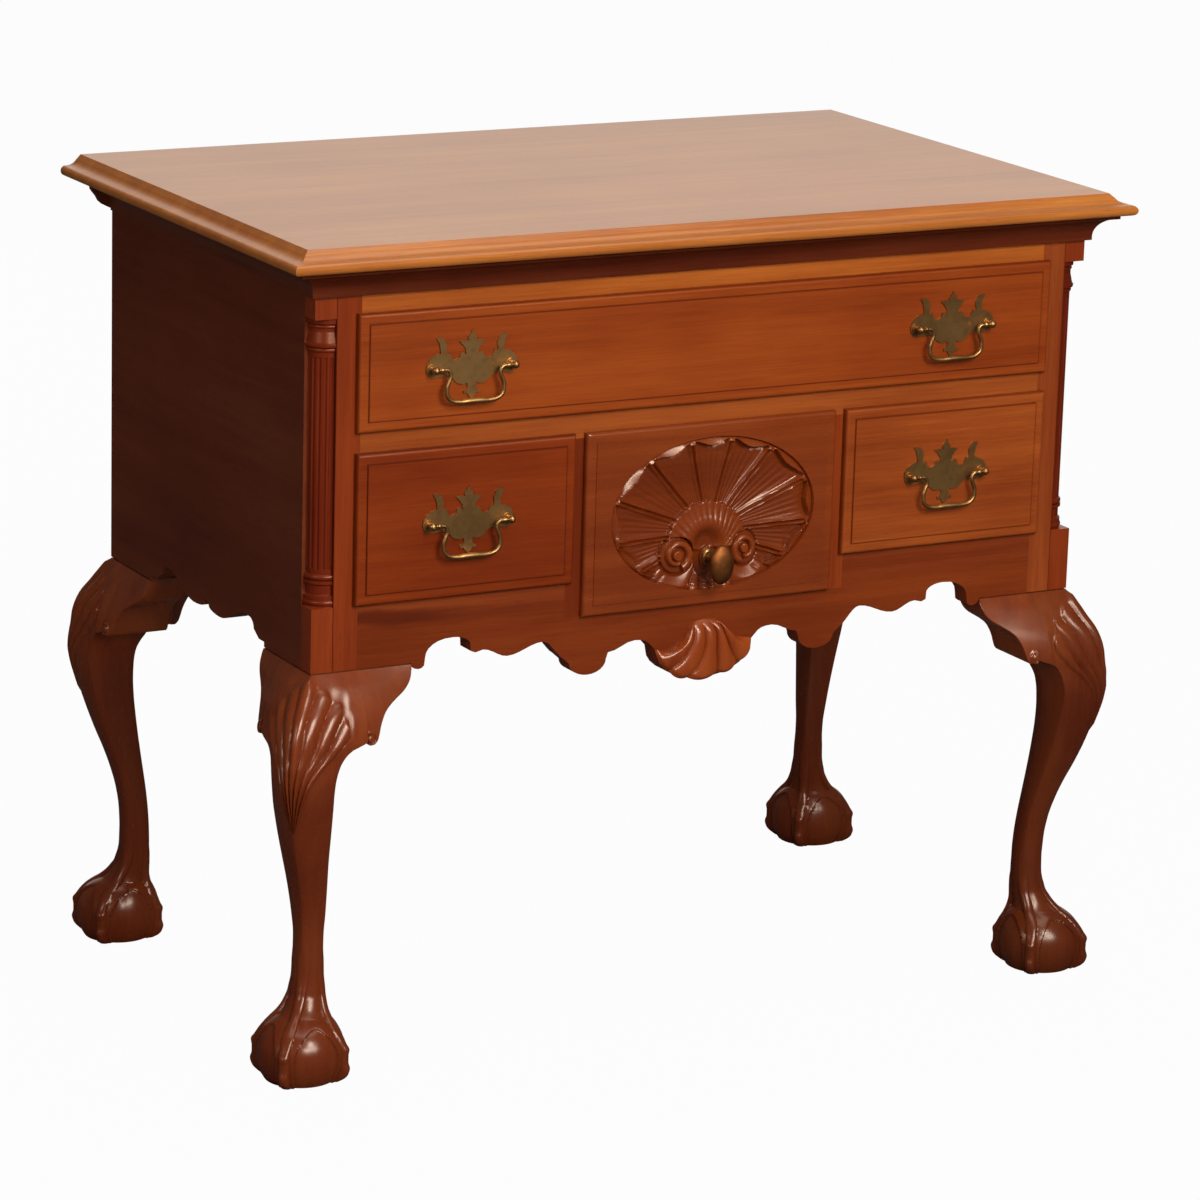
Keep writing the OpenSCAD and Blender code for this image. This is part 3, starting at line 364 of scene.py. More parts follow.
def knee_carving(x, y, z, quarter):
    """Relief of the shell on the knee: seven lobes that spread from a point and end in a scalloped edge."""
    across = (x - y) / math.sqrt(2)
    half = through([(250, 2), (257, 3), (270, 6), (285, 10.5), (300, 16), (315, 24), (330, 34.5), (343, 42),
                    (352, 45), (400, 66)], z)[0]
    share = across / half
    lobe = share * 3.5
    rib = np.abs(np.cos(np.pi * lobe)) ** 0.8
    edge = through([(0, 395), (8, 391), (16, 383), (28.8, 372), (37.8, 356), (42, 342), (44, 325)],
                   np.abs(across))[0]
    edge = edge + 4 * np.cos(np.pi * lobe) ** 2 - 2.4
    inside = smooth_step(edge - z, -0.8, 1.6) * smooth_step(1.03 - np.abs(share), 0, 1.6 / half)
    inside = inside * smooth_step(z, 252, 262)
    near = smooth_step(edge + 16 - z, 0, 14) * smooth_step(1.5 - np.abs(share), 0, 0.5)
    near = near * smooth_step(z, 240, 275)
    near = near * smooth_step(38 - np.maximum(x, y), 0, 10)
    relief = inside * (3.6 * rib - 1.2) - near * 1.2
    rounding = through([(250, 1), (280, 4), (330, 9), (384, 9), (396, 1)], z)[0]
    near_arris = np.minimum(np.abs(across), rounding / math.sqrt(2))
    relief = relief - (rounding * math.sqrt(2) - near_arris - np.sqrt(rounding ** 2 - near_arris ** 2))
    return np.where((quarter == 0) | (quarter == 3), relief, 0)


# Heights between which the foot turns into the shank, and the shank into the square knee. Relief on the knee
# stands out from CORE on both axes. The last rings draw in by SINK, for the fine joint under the case.
ANKLE = (112, 126)
KNEE = (318, 337)
CORE = 12
SINK = 1.6


def rings_of_leg():
    """Rings of points from the floor to the case, for a front left leg whose case corner is at the origin."""
    quarter = np.repeat([0, 1, 2, 3], [FACE, BACKSIDE, BACKSIDE, FACE])
    part = np.concatenate([np.arange(n) / n for n in (FACE, BACKSIDE, BACKSIDE, FACE)])
    heights = np.concatenate([np.arange(0, 62, 1.0), np.arange(62, 112, 2.5), np.arange(112, 250, 6),
                              np.arange(250, 398, 1.8), [398.8, 398.9, 400]])
    rings = []
    for z in heights:
        if z < ANKLE[1]:
            x, y = foot_section(z, quarter, part)
        if z > ANKLE[0]:
            shank_x, shank_y = shank_section(z, quarter, part)
            share = float(smooth_step(z, *ANKLE))
            if z >= ANKLE[1]:
                x, y = shank_x, shank_y
            else:
                x, y = x + (shank_x - x) * share, y + (shank_y - y) * share
        if z > KNEE[0]:
            knee_x, knee_y = knee_section(z, quarter, part)
            share = float(smooth_step(z, *KNEE))
            x, y = x + (knee_x - x) * share, y + (knee_y - y) * share
        if z > 240:
            relief = knee_carving(x, y, z, quarter)
            length = np.hypot(x - CORE, y - CORE)
            x, y = x + relief * (x - CORE) / length, y + relief * (y - CORE) / length
        if z > 398.85:
            x, y = np.maximum(x, SINK), np.maximum(y, SINK)
        rings.append(np.stack([x, y, np.full(len(x), z)], 1))
    return rings


def solid_from_rings(name, parts, material, sharp=35):
    """One mesh of closed parts, each drawn through rings of points. Edges over the sharp angle stay creased."""
    points, faces, first = [], [], 0
    for rings in parts:
        count, last = len(rings[0]), (len(rings) - 1) * len(rings[0])
        points += [*rings, rings[0].mean(0)[None], rings[-1].mean(0)[None]]
        low = len(rings) * count
        for j in range(count):
            k = (j + 1) % count
            faces += [(first + i + j, first + i + k, first + i + count + k, first + i + count + j)
                      for i in range(0, last, count)]
            faces += [(first + low, first + k, first + j),
                      (first + low + 1, first + last + j, first + last + k)]
        first += low + 2
    mesh = bpy.data.meshes.new(name)
    mesh.from_pydata((np.vstack(points) * MM).tolist(), [], faces)
    made = bpy.data.objects.new(name, mesh)
    bpy.context.scene.collection.objects.link(made)
    work = bmesh.new()
    work.from_mesh(mesh)
    bmesh.ops.recalc_face_normals(work, faces=work.faces)
    for face in work.faces:
        face.smooth = True
    for edge in work.edges:
        edge.smooth = edge.calc_face_angle(0) < math.radians(sharp)
    work.to_mesh(mesh)
    work.free()
    mesh.materials.append(material)
    return made


def carved(name, parts, material, body, *nodes, sharp=35):
    """A finished carved piece that rides a body and stands for nodes of the solid model."""
    made = solid_from_rings(name, parts, material, sharp)
    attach(made, body)
    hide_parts(*nodes)
    return made


# Each corner of the case, and which way the leg faces there. The front left leg leans out by SPLAY at its foot.
CORNERS = {"front_left": (-420, -242, 1, 1), "front_right": (420, -242, -1, 1),
           "back_left": (-420, 235, 1, -1), "back_right": (420, 235, -1, -1)}
SPLAY = np.array([-6.4, 4.8, 0])
LEG_TONE = (0.172, 0.03, 0.0065)
LEG_SHEEN = (1, 0.82, 0.66)


def leg_shade(place):
    """The shank is darker than the knee."""
    z = place.node("ShaderNodeSeparateXYZ", None, {0: place}, out=2)
    return (1 - z.band(0.27, 0.345)) * 0.46


leg_rings = rings_of_leg()
for index, (corner, (x, y, right_way, back_way)) in enumerate(CORNERS.items()):
    corner_at = np.array([x, y, 0])
    flip = np.array([right_way, back_way, 1])
    # The front right leg is darkened as painted shade, and the other legs lightened a little as painted light,
    # for how the lamps fall on them.
    strength = 0.78 if corner == "front_right" else 1.06
    tone = [strength * part for part in LEG_TONE]
    wood = mahogany("mahogany_leg_" + corner, "Z", tone, 16 + index, gloss=0.22, shade=leg_shade,
                    sheen=LEG_SHEEN, shine=0.6, pores=0.5)
    leans = SPLAY if corner == "front_left" else 0 * SPLAY
    rings = [(ring + leans * min(1, max(0, (340 - ring[0, 2]) / 220))) * flip + corner_at
             for ring in leg_rings]
    carved("carved_leg_" + corner, [rings], wood, "case", "leg_" + corner)

# Knee blocks
# Two mahogany blocks are glued beside each knee and under the case. They carry the swell of the knee on to the
# lower edge of the apron or side, and each has a small scroll carved beside the knee.

# A block reaches from the post to REACH from the corner, and is BLOCK thick behind the face of the case. EYE is
# the middle of its scroll: along the case, and down from it.
REACH = 104
BLOCK = 37
EYE = (50.6, 60.9)


def block_rings():
    """Rings from the leg to the tip of the block on the front, with the corner of the case at the origin."""
    rings = []
    for along in np.concatenate([np.linspace(POST, 62, 36), np.linspace(62.8, REACH, 36)]):
        low = through([(POST, 65.6), (50, 67.6), (54, 67.8), (58, 65), (60.6, 59), (62.6, 52.6), (65.5, 46.4),
                       (70, 39.5), (76.5, 34), (84, 29.3), (92, 24.5), (98, 19), (102, 12.5), (REACH, 6)],
                      along)[0]
        downward = np.concatenate([np.linspace(0, 0.93, 42), np.linspace(0.94, 1, 8)])
        drop = np.concatenate([[0, 1.1], 1.2 + (low - 1.2) * downward])
        off = np.hypot(along - EYE[0], drop - EYE[1])
        scroll = 1.8 * smooth_step(7 - off, 0, 1.6) - 1.8 * np.exp(-((off - 3.9) / 0.8) ** 2)
        edge = 1.6 - np.sqrt(np.clip(1.6 ** 2 - np.clip(1.6 - (low - drop), 0, 1.6) ** 2, 0, None))
        front = np.where(drop < 1.15, 1.6, edge - swell_at(np.array(along), drop) - scroll)
        y = np.concatenate([front, [BLOCK, BLOCK]])
        z = LEG_H - np.concatenate([drop, [low, 0]])
        rings.append(np.stack([np.full(len(y), along), y, z], 1))
    return rings


for way, ends in (("front", ("front_left", "front_right")), ("back", ("back_left", "back_right"))):
    blocks = []
    for corner in ends:
        x, y, right_way, back_way = CORNERS[corner]
        for on_side in (False, True):
            blocks.append([(ring[:, [1, 0, 2]] if on_side else ring) * (right_way, back_way, 1) + (x, y, 0)
                           for ring in block_rings()])
    wood = mahogany("mahogany_knee_blocks_" + way, "Z", LEG_TONE, 26, gloss=0.22, sheen=LEG_SHEEN, shine=0.75,
                    pores=0.25)
    carved("carved_knee_blocks_" + way, blocks, wood, "case", "knee_blocks_" + way)

# Pendant shell
# A shell of five lobes hangs from the middle of the apron. It is carved from a mahogany block that is glued
# to the apron's face, and its grain runs upright.

APRON_FACE = -242


def pendant_rings():
    """Rings from the top of the shell down to its scalloped edge: the lobes in front, the flat back behind.

    Each of the six edges is a line beside a lobe, as rows of the part of the way down, x and z. Each bulge is
    how far the end of a lobe curves out, in x and z.
    """
    tip = np.sin(np.linspace(0.1, 1, 16) * np.pi / 2)
    down = np.concatenate([np.linspace(0, 0.86, 44), 0.86 + 0.14 * tip])
    edges = [through(knots, down) for knots in (
        [(0, -11, 409), (0.12, -17, 403), (0.3, -24, 392), (0.5, -33, 385), (0.75, -43, 383), (1, -54, 385.5)],
        [(0, -7, 410), (0.08, -11.6, 405), (0.3, -13.2, 395), (0.52, -18, 384), (0.76, -27, 372),
         (1, -39, 363.5)],
        [(0, -2, 410.5), (0.05, -2.2, 407), (0.2, -0.6, 399.5), (0.38, -0.6, 389), (0.6, -2.8, 376.5),
         (0.83, -8, 364), (1, -18, 354)],
        [(0, 3, 410.5), (0.08, 8.4, 405.5), (0.3, 12.2, 394.5), (0.5, 12.4, 383), (0.74, 13.6, 370),
         (1, 15, 356)],
        [(0, 8.5, 410), (0.1, 16.6, 405), (0.35, 22.6, 391.5), (0.6, 28, 379), (1, 36.5, 364.5)],
        [(0, 14, 409.5), (0.25, 26, 399.5), (0.55, 38.5, 389.5), (1, 53.5, 386.5)])]
    bulge = [(-2.6, -3.4), (-1.6, -3.4), (0, -4.6), (2.2, -4.2), (3, -5)]
    rings = []
    for i, v in enumerate(down):
        across = []
        for k in range(5):
            f = np.linspace(0, 1, 15)[(0 if k == 0 else 1):]
            arc = 4 * f * (1 - f) * smooth_step(v, 0.7, 1)
            x = edges[k][0][i] * (1 - f) + edges[k + 1][0][i] * f + bulge[k][0] * arc
            z = edges[k][1][i] * (1 - f) + edges[k + 1][1][i] * f + bulge[k][1] * arc
            rise = through([(0, 0.5), (0.06, 2.6), (0.2, 6.6), (0.45, 9), (0.8, 8.6), (0.93, 7.6), (1, 3.2)],
                           v)[0]
            lobe = (1 - (2 * f - 1) ** 2) ** 0.6
            groove = rise * (1 - 0.5 * smooth_step(v, 0.03, 0.16) * (1 - lobe))
            if k in (0, 4):
                outer = (1 - f) if k == 0 else f
                groove = groove * (1 - smooth_step(outer, 0.7, 1) * (0.35 if k == 0 else 0.6))
            across.append(np.stack([x, APRON_FACE - groove, z], 1))
        front = np.vstack(across)
        behind = front[::-7] * (1, 0, 1) + (0, APRON_FACE, 0)
        rings.append(np.vstack([front, behind]))
    return rings


wood = mahogany("mahogany_pendant", "Z", (0.27, 0.047, 0.007), 18, gloss=0.24, sheen=LEG_SHEEN, shine=0.7,
                pores=0.25)
carved("carved_pendant", [pendant_rings()], wood, "case", "pendant_shell", sharp=50)

# Drawers
# The front of each drawer is one mahogany board, with a rounded lip that laps over the case. The drawer's
# sides are dovetailed into it. These are the fronts of the long drawer and of the two side drawers.


def lip_painted_shade_lines(node):
    """Painted shade darkens the edge of the lip and the line inside its moulding, 10 to 11 mm in, where the gap
    round the drawer and the quirk of the moulding lie in shadow.
    """
    low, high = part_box(node)

    def shade(place):
        x, z = (place.node("ShaderNodeSeparateXYZ", None, {0: place}, out=out) for out in (0, 2))
        inset = None
        for away in (x - low[0], high[0] - x, z - low[2], high[2] - z):
            inset = away if inset is None else inset.math("MINIMUM", inset, away)
        line = inset.band(0.0092, 0.0103) * (1 - inset.band(0.0107, 0.0118))
        return line * 0.75 + (1 - inset.band(0.0004, 0.0022)) * 0.6

    return shade


FRONT_TONES = {"long": (0.238, 0.038, 0.0042), "left": (0.18, 0.0222, 0.0019), "right": (0.265, 0.05, 0.007)}
for index, (body, tone) in enumerate(FRONT_TONES.items()):
    node = body + "_drawer_front"
    dress(node, mahogany("mahogany_%s_front" % body, "X", tone, 20 + index, shade=lip_painted_shade_lines(node)))

# Centre drawer front
# A great shell is carved into this front: a fan of flutes that curl up at the rim, a small ribbed shell in the
# middle, and two scrolls that open downward into leaves. The brass knob is fixed below the small shell.

# The face of the flat field, the point that the fan spreads from, and the height of the knob. The rim of the
# carving is an oval: the height of its middle, and half its width and height.
FIELD = -250
HUB = (2, 497)
KNOB_Z = 472
RIM_Z, RIM_HALF_W, RIM_HALF_H = 517.5, 111.5, 75.5


def rim_of(angle):
    """Distance from the hub to the oval rim of the carving."""
    up = HUB[1] - RIM_Z
    a = (np.cos(angle) / RIM_HALF_W) ** 2 + (np.sin(angle) / RIM_HALF_H) ** 2
    b = up * np.sin(angle) / RIM_HALF_H ** 2
    return (np.sqrt(b * b - a * ((up / RIM_HALF_H) ** 2 - 1)) - b) / a


def flute_depth(turn, share, rim):
    """Depth of the fan of flutes: pairs of ridges with a groove between, hollows with fine rays, and a lip."""
    # The beat counts flutes from the top. They are narrowest at the sides, and there is a groove at each half.
    out = np.clip((share - 0.4) / 0.6, 0, 1)
    beat = np.interp(np.abs(turn - 1.5), (0, 67.5, 89.5, 110, 182), (0, 2.5, 3.5, 4.5, 7.5))
    beat = beat - np.round(beat)
    off = (0.5 - np.abs(beat)) * 0.47 * share * rim
    inward = (1 - share) * rim
    ridge = np.exp(-((off - 2.6) / 1.7) ** 2)
    groove = np.exp(-(off / 1.0) ** 2)
    rays = np.cos(2 * np.pi * beat * 6) * smooth_step(off, 3, 5) * (0.2 + 0.8 * smooth_step(inward, 9, 22))
    floor = 9.4 - 4.2 * out ** 1.5 + 1.2 * np.cos(np.pi * beat) * out
    floor = floor - ridge * (1.5 + 2.7 * out) + groove * 1.5 - rays * (0.22 + 0.14 * out)
    # The lip at the rim is widest in the middle of a flute, and a small tab stands between two flutes.
    width = 1.2 + 6.6 * np.cos(np.pi * np.clip(np.abs(beat), 0, 0.5)) ** 1.8
    lip = 3.8 - 3.4 * np.clip(inward / width, 0, 1) ** 0.75
    floor = floor + 1.4 * smooth_step(inward, width + 7, width + 0.8) * (1 - ridge)
    depth = np.where(inward < width, lip, lip + (floor - lip) * smooth_step(inward, width, width + 1))
    tab = smooth_step(3.4 - off, 0, 1.2) * smooth_step(inward, 6.5, 4.5)
    return depth + (3.6 - 3.1 * np.clip(inward / 4.5, 0, 1) ** 0.7 - depth) * tab


def small_shell_depth(x, z):
    """Depth of the small shell, and 1 inside its scalloped edge."""
    mid_x, mid_z = HUB[0] - 4, 487
    angle = np.arctan2(z - mid_z, x - mid_x)
    reach = np.hypot(x - mid_x, z - mid_z)
    spread = np.degrees(np.arctan2(z - 470, x - HUB[0]) - np.pi / 2)
    rib = np.abs(np.cos(spread * np.pi / 8))
    edge = 1 / np.sqrt((np.cos(angle) / 44) ** 2 + (np.sin(angle) / 42) ** 2) * (0.97 + 0.03 * rib)
    part = reach / edge
    dome = through([(0, 10.4), (0.14, 10), (0.24, 8), (0.34, 4.2), (0.42, 2), (0.5, 1.3), (0.58, 1.7),
                    (0.7, 3), (0.85, 4.3), (1, 5.2), (1.3, 6.5)], part)[0]
    ribs = 0.6 * (1 - rib ** 0.6) * smooth_step(part, 0.25, 0.5) * (1 - 0.5 * smooth_step(part, 0.8, 1))
    return dome + ribs, smooth_step(edge - reach, -0.3, 0.5) * smooth_step(z, 478, 484)


# For each scroll: which way it faces, the place of its eye, its size, and how much narrower than high it is.
SCROLLS = ((-1, -34, 478, 17.8, 1.0), (1, 39.5, 479, 16.4, 0.9))


def scroll_depth(x, z, way, middle_x, middle_z, size, squeeze):
    """Depth of a scroll that winds in to an eye, 1 inside it, and how far out a point is in its size."""
    x = (x - middle_x) * way / squeeze
    z = z - middle_z
    reach = np.hypot(x, z) / size
    best = np.full(np.shape(x), 99.0)
    for turn in (-360, 0, 360):
        wound = np.degrees(np.arctan2(z, -x)) + turn
        along = np.clip((wound + 70) / 350, 0, 1)
        middle = 0.75 - 0.3 * along ** 1.4
        off = np.abs(reach - middle) / (0.25 - 0.1 * along) + 9 * ((wound < -70) | (wound > 280))
        best = np.minimum(best, off)
    band = np.maximum(np.sqrt(np.clip(1 - best ** 2, 0, 1)), 0.85 * smooth_step(0.36 - reach, 0, 0.12))
    return 6.4 - 5.7 * band, smooth_step(1 - reach, 0, 0.04), reach


def shell_depth(x, z, angle, share):
    """Depth of the whole carving behind the flat field of the front."""
    turn = (np.degrees(angle) - 90 + 180) % 360 - 180
    rim = rim_of(angle)
    inward = (1 - share) * rim
    depth = flute_depth(turn, share, rim)
    side = 180 - np.abs(turn)
    scrolls = [scroll_depth(x, z, *scroll) for scroll in SCROLLS]
    # A leaf opens under each scroll, with a fold near its end, and a cut runs round the scroll.
    for (way, *_), (_, _, reach) in zip(SCROLLS, scrolls):
        leaf = smooth_step(side, 25, 27) * smooth_step(60 - side, 0, 1.5) * (turn * way < 0)
        round_up = np.sin(np.pi * np.clip((side - 25) / 36, 0, 1) ** (0.6 if way < 0 else 1)) ** 0.7
        fold = np.exp(-((side - 53) / 1.5) ** 2) * smooth_step(reach, 1.1, 1.5)
        rise = np.clip((reach - 0.98) / 0.8, 0, 1) * (1 - 0.25 * smooth_step(inward, 3, 0))
        depth = depth * (1 - leaf) + (7.4 - 6.2 * round_up * rise + fold * 0.8) * leaf
        depth = depth + np.exp(-((reach - 1.06) / 0.07) ** 2) * 2.6
    # Between the leaves is a toothed foot.
    foot = smooth_step(25 - side, 0, 3) * (z < 470)
    teeth = 7 - 3.4 * np.abs(np.cos(np.pi * (side - 4) / 14)) - 2.2 * smooth_step(inward, 6, 1)
    depth = depth * (1 - foot) + teeth * foot
    # The small shell lies over the fan, with a hollow above the knob, and the scrolls lie over both.
    dome, in_dome = small_shell_depth(x, z)
    well = smooth_step(1.25 - np.hypot((x - HUB[0] + 2) / 14, (z - 476) / 22), 0, 0.3)
    for _, _, reach in scrolls:
        in_dome = in_dome * smooth_step(reach, 1, 1.05)
        well = well * smooth_step(reach, 1, 1.05)
    depth = depth * (1 - in_dome) + dome * in_dome
    depth = depth + (10 - depth) * well * (1 - in_dome)
    for spiral, inside, _ in scrolls:
        depth = depth * (1 - inside) + spiral * inside
    # The plate of the knob has a flat seat.
    seat = smooth_step(1.16 - np.hypot(x / 6.7, (z - KNOB_Z) / 10.1), 0, 0.1)
    return np.clip(depth * (1 - seat) + 7 * seat, 0.25, 11.5)


def shell_front_rings():
    """Rings from the back of the board round its lip, over the field and down into the carving.

    A point of each ring lies at each corner of the lip, whose half width and height stand below.
    """
    count = 560
    half_w, half_h, mid_z = 137.5, 90.1, 517.4
    angle = np.arange(count) * 2 * np.pi / count
    for cx, cz in ((1, 1), (-1, 1), (-1, -1), (1, -1)):
        corner = math.atan2(mid_z + cz * half_h - HUB[1], cx * half_w - HUB[0]) % (2 * np.pi)
        angle[np.argmin(np.abs(angle - corner))] = corner
    right, up = np.cos(angle), np.sin(angle)
    far = np.minimum((np.sign(right) * half_w - HUB[0]) / np.where(right == 0, 1e-9, right),
                     (mid_z + np.sign(up) * half_h - HUB[1]) / np.where(up == 0, 1e-9, up))
    x, z = HUB[0] + far * right, HUB[1] + far * up

    def frame_ring(y, sides, above, below):
        """A ring round the board, drawn in from the edge of its lip."""
        share = np.where(z > mid_z, (half_h - above) / half_h, (half_h - below) / half_h)
        return np.stack([x * (half_w - sides) / half_w, np.full(count, y), mid_z + (z - mid_z) * share], 1)

    rings = [frame_ring(-228, 6.55, 6.5, 0), frame_ring(-242.3, 6.55, 6.5, 0),
             frame_ring(-242.3, 0, 0, 0), frame_ring(-245.5, 0, 0, 0)]
    for turn in np.radians(np.linspace(0, 90, 7)[1:]):
        inset = 3.5 - 3.5 * math.cos(turn)
        rings.append(frame_ring(-245.5 - 3.5 * math.sin(turn), inset, inset, inset))
    rings += [frame_ring(-249, 10.5, 10.5, 10.5), frame_ring(FIELD, 10.6, 10.6, 10.6)]
    rim = rim_of(angle)
    for share in (1.04, 1.006):
        rings.append(np.stack([HUB[0] + rim * share * right, np.full(count, FIELD),
                               HUB[1] + rim * share * up], 1))
    for share in np.concatenate([np.linspace(1, 0.88, 26), np.linspace(0.875, 0.02, 110)]):
        px, pz = HUB[0] + rim * share * right, HUB[1] + rim * share * up
        rings.append(np.stack([px, FIELD + shell_depth(px, pz, angle, share), pz], 1))
    return rings


def deep_carving_painted_shade(place):
    """The field is a little darker than the moulding round it, and painted shade darkens the carving where it
    is deep.
    """
    behind = place.node("ShaderNodeSeparateXYZ", None, {0: place}, out=1) - FIELD * MM
    on_field = 1 - behind.band(-0.0002, 0.0002)
    return behind.band(0.0004, 0.003) * 0.12 + behind.band(0.003, 0.009) * 0.3 + on_field * 0.25


wood = mahogany("mahogany_centre_front", "X", (0.19, 0.03, 0.004), 24, gloss=0.24, shade=deep_carving_painted_shade,
                sheen=(1, 0.8, 0.62), shine=0.7, pores=0.4)
carved("carved_centre_front", [shell_front_rings()], wood, "centre_drawer", "centre_drawer_front", sharp=50)

# Drawer linings, runners and back
# The sides, backs and bottoms of the drawers are thin softwood boards. The runners, guides and kickers that are
# glued inside the case are softwood too, and so is the back, which is darker with age. None of it is polished.

# Softwood is finished as mahogany is, in its own colour, with less figure and a dull face.
NEW_PINE = (0.46, 0.27, 0.115)
OLD_PINE = (0.27, 0.13, 0.05)
for along, ends, tone in (("X", ("_drawer_back", "_bottom"), NEW_PINE), ("X", ("back_panel",), OLD_PINE),
                          ("Y", ("_drawer_sides", "runners", "drawer_guides", "kickers"), NEW_PINE)):
    pine = mahogany("softwood_" + ends[0].strip("_"), along, tone, 30, figure=0.7, gloss=0.6)
    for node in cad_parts:
        if node.endswith(ends):
            dress(node, pine)

# Brass
# Each pull is a cast plate with a cut outline, two posts that pass through the drawer front to square nuts, and
# a bail that hangs on pins in the posts' ball heads. The centre drawer has an oval knob on a small oval plate.
# The brass is old and has lost its lacquer.


def aged_brass(name, bright, dull, rough):
    """Cast brass with its lacquer gone: spots and clouds of tarnish lie over the bright metal."""
    material, wire, shader = surface(name)
    place = wire.node("ShaderNodeTexCoord", out=3)
    spots = place.noise((1, 1, 1), size=120, detail=4, rough=0.6)
    clouds = place.noise((1, 1, 1), size=30, detail=2)
    tarnish = (spots * 0.6 + clouds * 0.4).band(0.38, 0.62)
    finish_with(wire, shader, {"Base Color": tarnish.mix(bright, dull), "Metallic": 1.0,
                               "Roughness": rough + spots * 0.25})
    return material


brass = aged_brass("brass_aged", (0.5, 0.27, 0.09), (0.3, 0.15, 0.05), 0.3)
knob_brass = aged_brass("brass_knob", (0.31, 0.1, 0.028), (0.18, 0.06, 0.017), 0.42)
PLATE_BEVEL = 0.0004
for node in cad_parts:
    if node.startswith(("plate", "posts", "nuts", "knob")):
        dress(node, brass, PLATE_BEVEL if node.startswith("plate") else 0)

# The depth of the bails' pins, and half the distance between the two posts of a pull.
PIN_Y = -259.6
HOLD = 41.25


def bail_rings(x, z):
    """A bail swept along its middle line, from one pin round the grip to the other pin.

    Each row of half a bail is a place across from its middle, one up from its pins, and a radius.
    """
    half = [(HOLD + 1, 0, 1.4), (HOLD - 5, 0, 1.4), (HOLD - 5.5, 0, 2.3), (HOLD - 7, 0, 2.5),
            (HOLD - 8.4, 0, 1.9), (HOLD - 12, -0.3, 1.9), (HOLD - 14.6, -2.6, 1.9), (HOLD - 15.4, -6.5, 1.9),
            (HOLD - 13.6, -11.5, 2), (HOLD - 11.6, -17.5, 2.1), (HOLD - 11.8, -23.5, 2.1),
            (HOLD - 15, -28.4, 2.1), (HOLD - 20.5, -31, 2.2), (HOLD - 28, -31.6, 2.4), (HOLD - 35, -31.3, 2.8)]
    line = np.array([(-a, b, r) for a, b, r in half] + [(0, -31.2, 2.9)] + half[::-1])
    length = np.concatenate([[0], np.cumsum(np.hypot(*np.diff(line[:, :2], axis=0).T))])
    steps, around = 190, 18
    across, drop, radius = through(np.column_stack([length, line]), np.linspace(0, length[-1], steps))
    ahead = np.stack([np.gradient(across), np.gradient(drop)])
    ahead /= np.hypot(*ahead)
    turn = np.arange(around) * 2 * np.pi / around
    return [np.stack([x + across[i] - ahead[1, i] * radius[i] * np.cos(turn), PIN_Y - radius[i] * np.sin(turn),
                      z + drop[i] + ahead[0, i] * radius[i] * np.cos(turn)], 1) for i in range(steps)]


def knob_rings():
    """The oval knob, from its foot on the plate over its neck to its domed front.

    Each row is a step on the way, its y, and half the width and height there.
    """
    around = 48
    y, a, b = through([
        (0, -246.6, 4, 4), (1, -248, 3.8, 4), (2, -259, 3.1, 3.3), (3, -266, 3.4, 4), (4, -268.4, 7, 10.4),
        (5, -270, 11.4, 17), (6, -272.2, 13, 19.5), (7, -274.6, 12.4, 18.7), (8, -276.8, 10.2, 15.3),
        (9, -278.3, 6, 9), (10, -278.8, 0.4, 0.6)], np.linspace(0, 10, 61))
    turn = np.arange(around) * 2 * np.pi / around
    return [np.stack([a[i] * np.cos(turn), np.full(around, y[i]), KNOB_Z + b[i] * np.sin(turn)], 1)
            for i in range(len(y))]


# The middle of each bail between its pins: x and z.
PULLS = {"long_left": (-263, 683.25), "long_right": (263, 683.25),
         "left_drawer": (-263.25, 534.75), "right_drawer": (263.25, 534.75)}
for name, (x, z) in PULLS.items():
    bail = solid_from_rings("swept_bail_" + name, [bail_rings(x, z)], brass)
    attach(bail, "bail_" + name)
    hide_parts("bail_" + name)
knob = solid_from_rings("domed_knob", [knob_rings()], knob_brass)
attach(knob, "centre_drawer")
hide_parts("centre_knob")

# Room
# The piece stands on a pale floor in a white studio. Soft lamps stand in front, at the left, above and behind.
# The polished top would mirror the front lamps to a white patch, so each lights it through a twin without a
# mirror image, and all else directly.

floor_mesh = bpy.data.meshes.new("floor")
floor_mesh.from_pydata([(-30, -30, 0), (30, -30, 0), (30, 30, 0), (-30, 30, 0)], [], [(0, 1, 2, 3)])
floor = bpy.data.objects.new("floor", floor_mesh)
bpy.context.scene.collection.objects.link(floor)
floor_paint, wire, shader = surface("floor_paint")
floor_tone = wire.node("ShaderNodeLightPath", out=3).mix((0.3, 0.3, 0.3), (0.03, 0.03, 0.03))
finish_with(wire, shader, {"Roughness": 0.9, "Specular IOR Level": 0.1, "Base Color": floor_tone})
glow = wire.node("ShaderNodeEmission", None, {"Color": (1, 1, 1, 1), "Strength": 1.0})
looked_at = wire.node("ShaderNodeLightPath") * 0.97
blend = wire.node("ShaderNodeMixShader", None, {0: looked_at, 1: Wire(wire.tree, shader.outputs[0]), 2: glow})
ending = next(n for n in wire.tree.nodes if n.type == "OUTPUT_MATERIAL")
wire.tree.links.new(blend.socket, ending.inputs["Surface"])
floor_mesh.materials.append(floor_paint)

world = bpy.data.worlds.new("surround")
bpy.context.scene.world = world
world.use_nodes = True
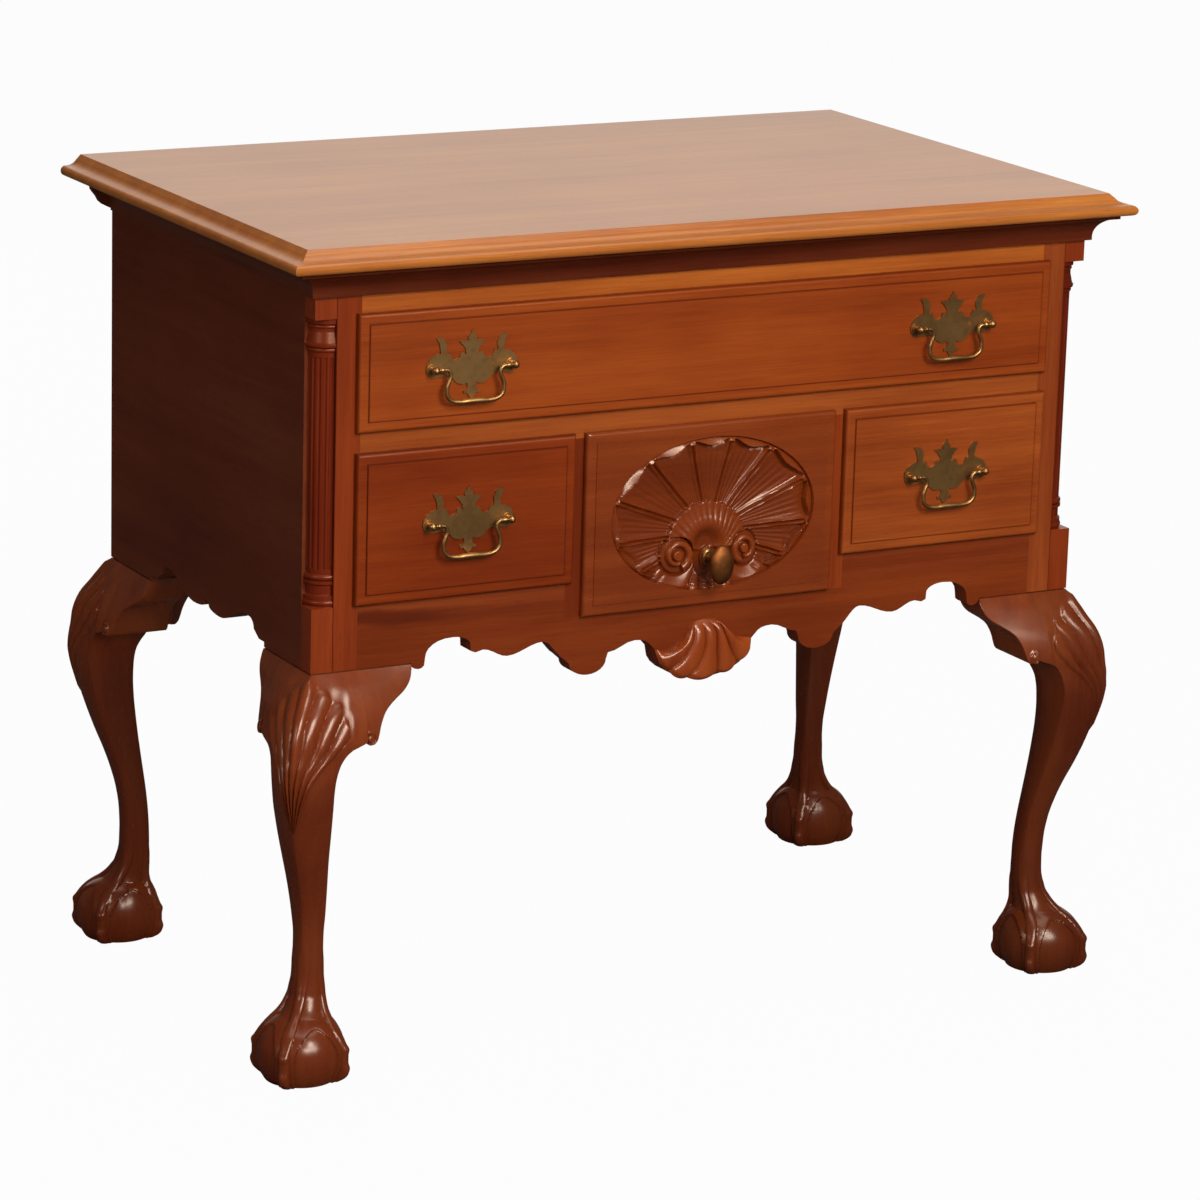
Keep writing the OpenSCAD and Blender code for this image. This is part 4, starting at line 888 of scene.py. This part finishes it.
# The surround is white where the camera sees it. In the polish it is warm and dim, apart from a bright wall
# beyond the far right corner of the piece.
sky = Wire(world.node_tree)
seen = sky.node("ShaderNodeLightPath")
mirrored = sky.node("ShaderNodeLightPath", out=3)
towards = sky.node("ShaderNodeVectorMath", {"operation": "DOT_PRODUCT"},
                   {0: sky.node("ShaderNodeTexCoord"), 1: (0.47, 0.86, 0.2)}, out=1)
backdrop = next(n for n in world.node_tree.nodes if n.type == "BACKGROUND")
world.node_tree.links.new(mirrored.mix((1, 1, 1), (1, 0.985, 0.9)).socket, backdrop.inputs["Color"])
brightness = seen.math("MAXIMUM", seen, 0.18 - mirrored * 0.12 + mirrored * towards.band(0.84, 0.97) * 0.94)
world.node_tree.links.new(brightness.socket, backdrop.inputs["Strength"])

# A lamp lights only what is in its collection, or all but what is excluded there.
top_only = bpy.data.collections.new("top_only")
all_but_top = bpy.data.collections.new("all_but_top")
for group in (top_only, all_but_top):
    group.objects.link(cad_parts["top_board"])
all_but_top.collection_objects[0].light_linking.link_state = "EXCLUDE"


def lamp(name, place, target, size, watts, lights=None, shows=True):
    """A soft lamp. It lights one group of objects or all, and shows in the polish or not."""
    light = bpy.data.lights.new(name, "AREA")
    light.shape = "RECTANGLE"
    light.size, light.size_y = size
    light.energy = watts
    made = bpy.data.objects.new(name, light)
    made.location = place
    made.rotation_mode = "QUATERNION"
    made.rotation_quaternion = (Vector(target) - Vector(place)).to_track_quat("-Z", "Y")
    made.light_linking.receiver_collection = lights
    made.visible_glossy = shows
    bpy.context.scene.collection.objects.link(made)


# The front and left lamps: place, the height that they point at, size and power.
for name, place, height, size, watts in (
        ("key", (0.5, -4.3, 2.6), 0.5, (1.8, 1.4), 99),
        ("high", (0, -2.7, 2.5), 0.5, (0.7, 0.5), 30),
        ("beside", (-0.75, -3.1, 1.7), 0.45, (0.6, 0.6), 26),
        ("left", (-3.2, -1.4, 1.9), 0.4, (1.2, 1.2), 20)):
    lamp(name, place, (0, 0, height), size, watts, all_but_top)
    lamp(name + "_on_top", place, (0, 0, height), size, watts, top_only, shows=False)
lamp("overhead", (0.2, -0.2, 4.0), (0, 0, 0.8), (3.0, 3.0), 60)
lamp("behind", (0.6, 4.0, 2.4), (0, 0, 0.5), (1.8, 1.4), 60, all_but_top, shows=False)

# Camera
# The camera stands where the photo was taken from, in front of the piece and to its left, above the top. Its
# angles are the turn round the piece, the tilt down and the roll. A long lens gives the photo's frame.

azimuth, elevation, roll = (math.radians(v) for v in (-28.65, 14.827, 1.66))
back = Vector((math.sin(azimuth) * math.cos(elevation), -math.cos(azimuth) * math.cos(elevation),
               math.sin(elevation)))
sideways = Vector((math.cos(azimuth), math.sin(azimuth), 0))
upward = back.cross(sideways)
right = sideways * math.cos(roll) + upward * math.sin(roll)
up = upward * math.cos(roll) - sideways * math.sin(roll)
view = bpy.data.objects.new("view", bpy.data.cameras.new("view"))
facing = Matrix((right, up, back)).transposed().to_4x4()
view.matrix_world = Matrix.Translation((-2.3021, -4.2445, 1.6484)) @ facing
view.data.lens = 147.924
view.data.sensor_width = 36
view.data.clip_end = 100
bpy.context.scene.collection.objects.link(view)
bpy.context.scene.camera = view
bpy.context.scene.view_settings.view_transform = "Standard"
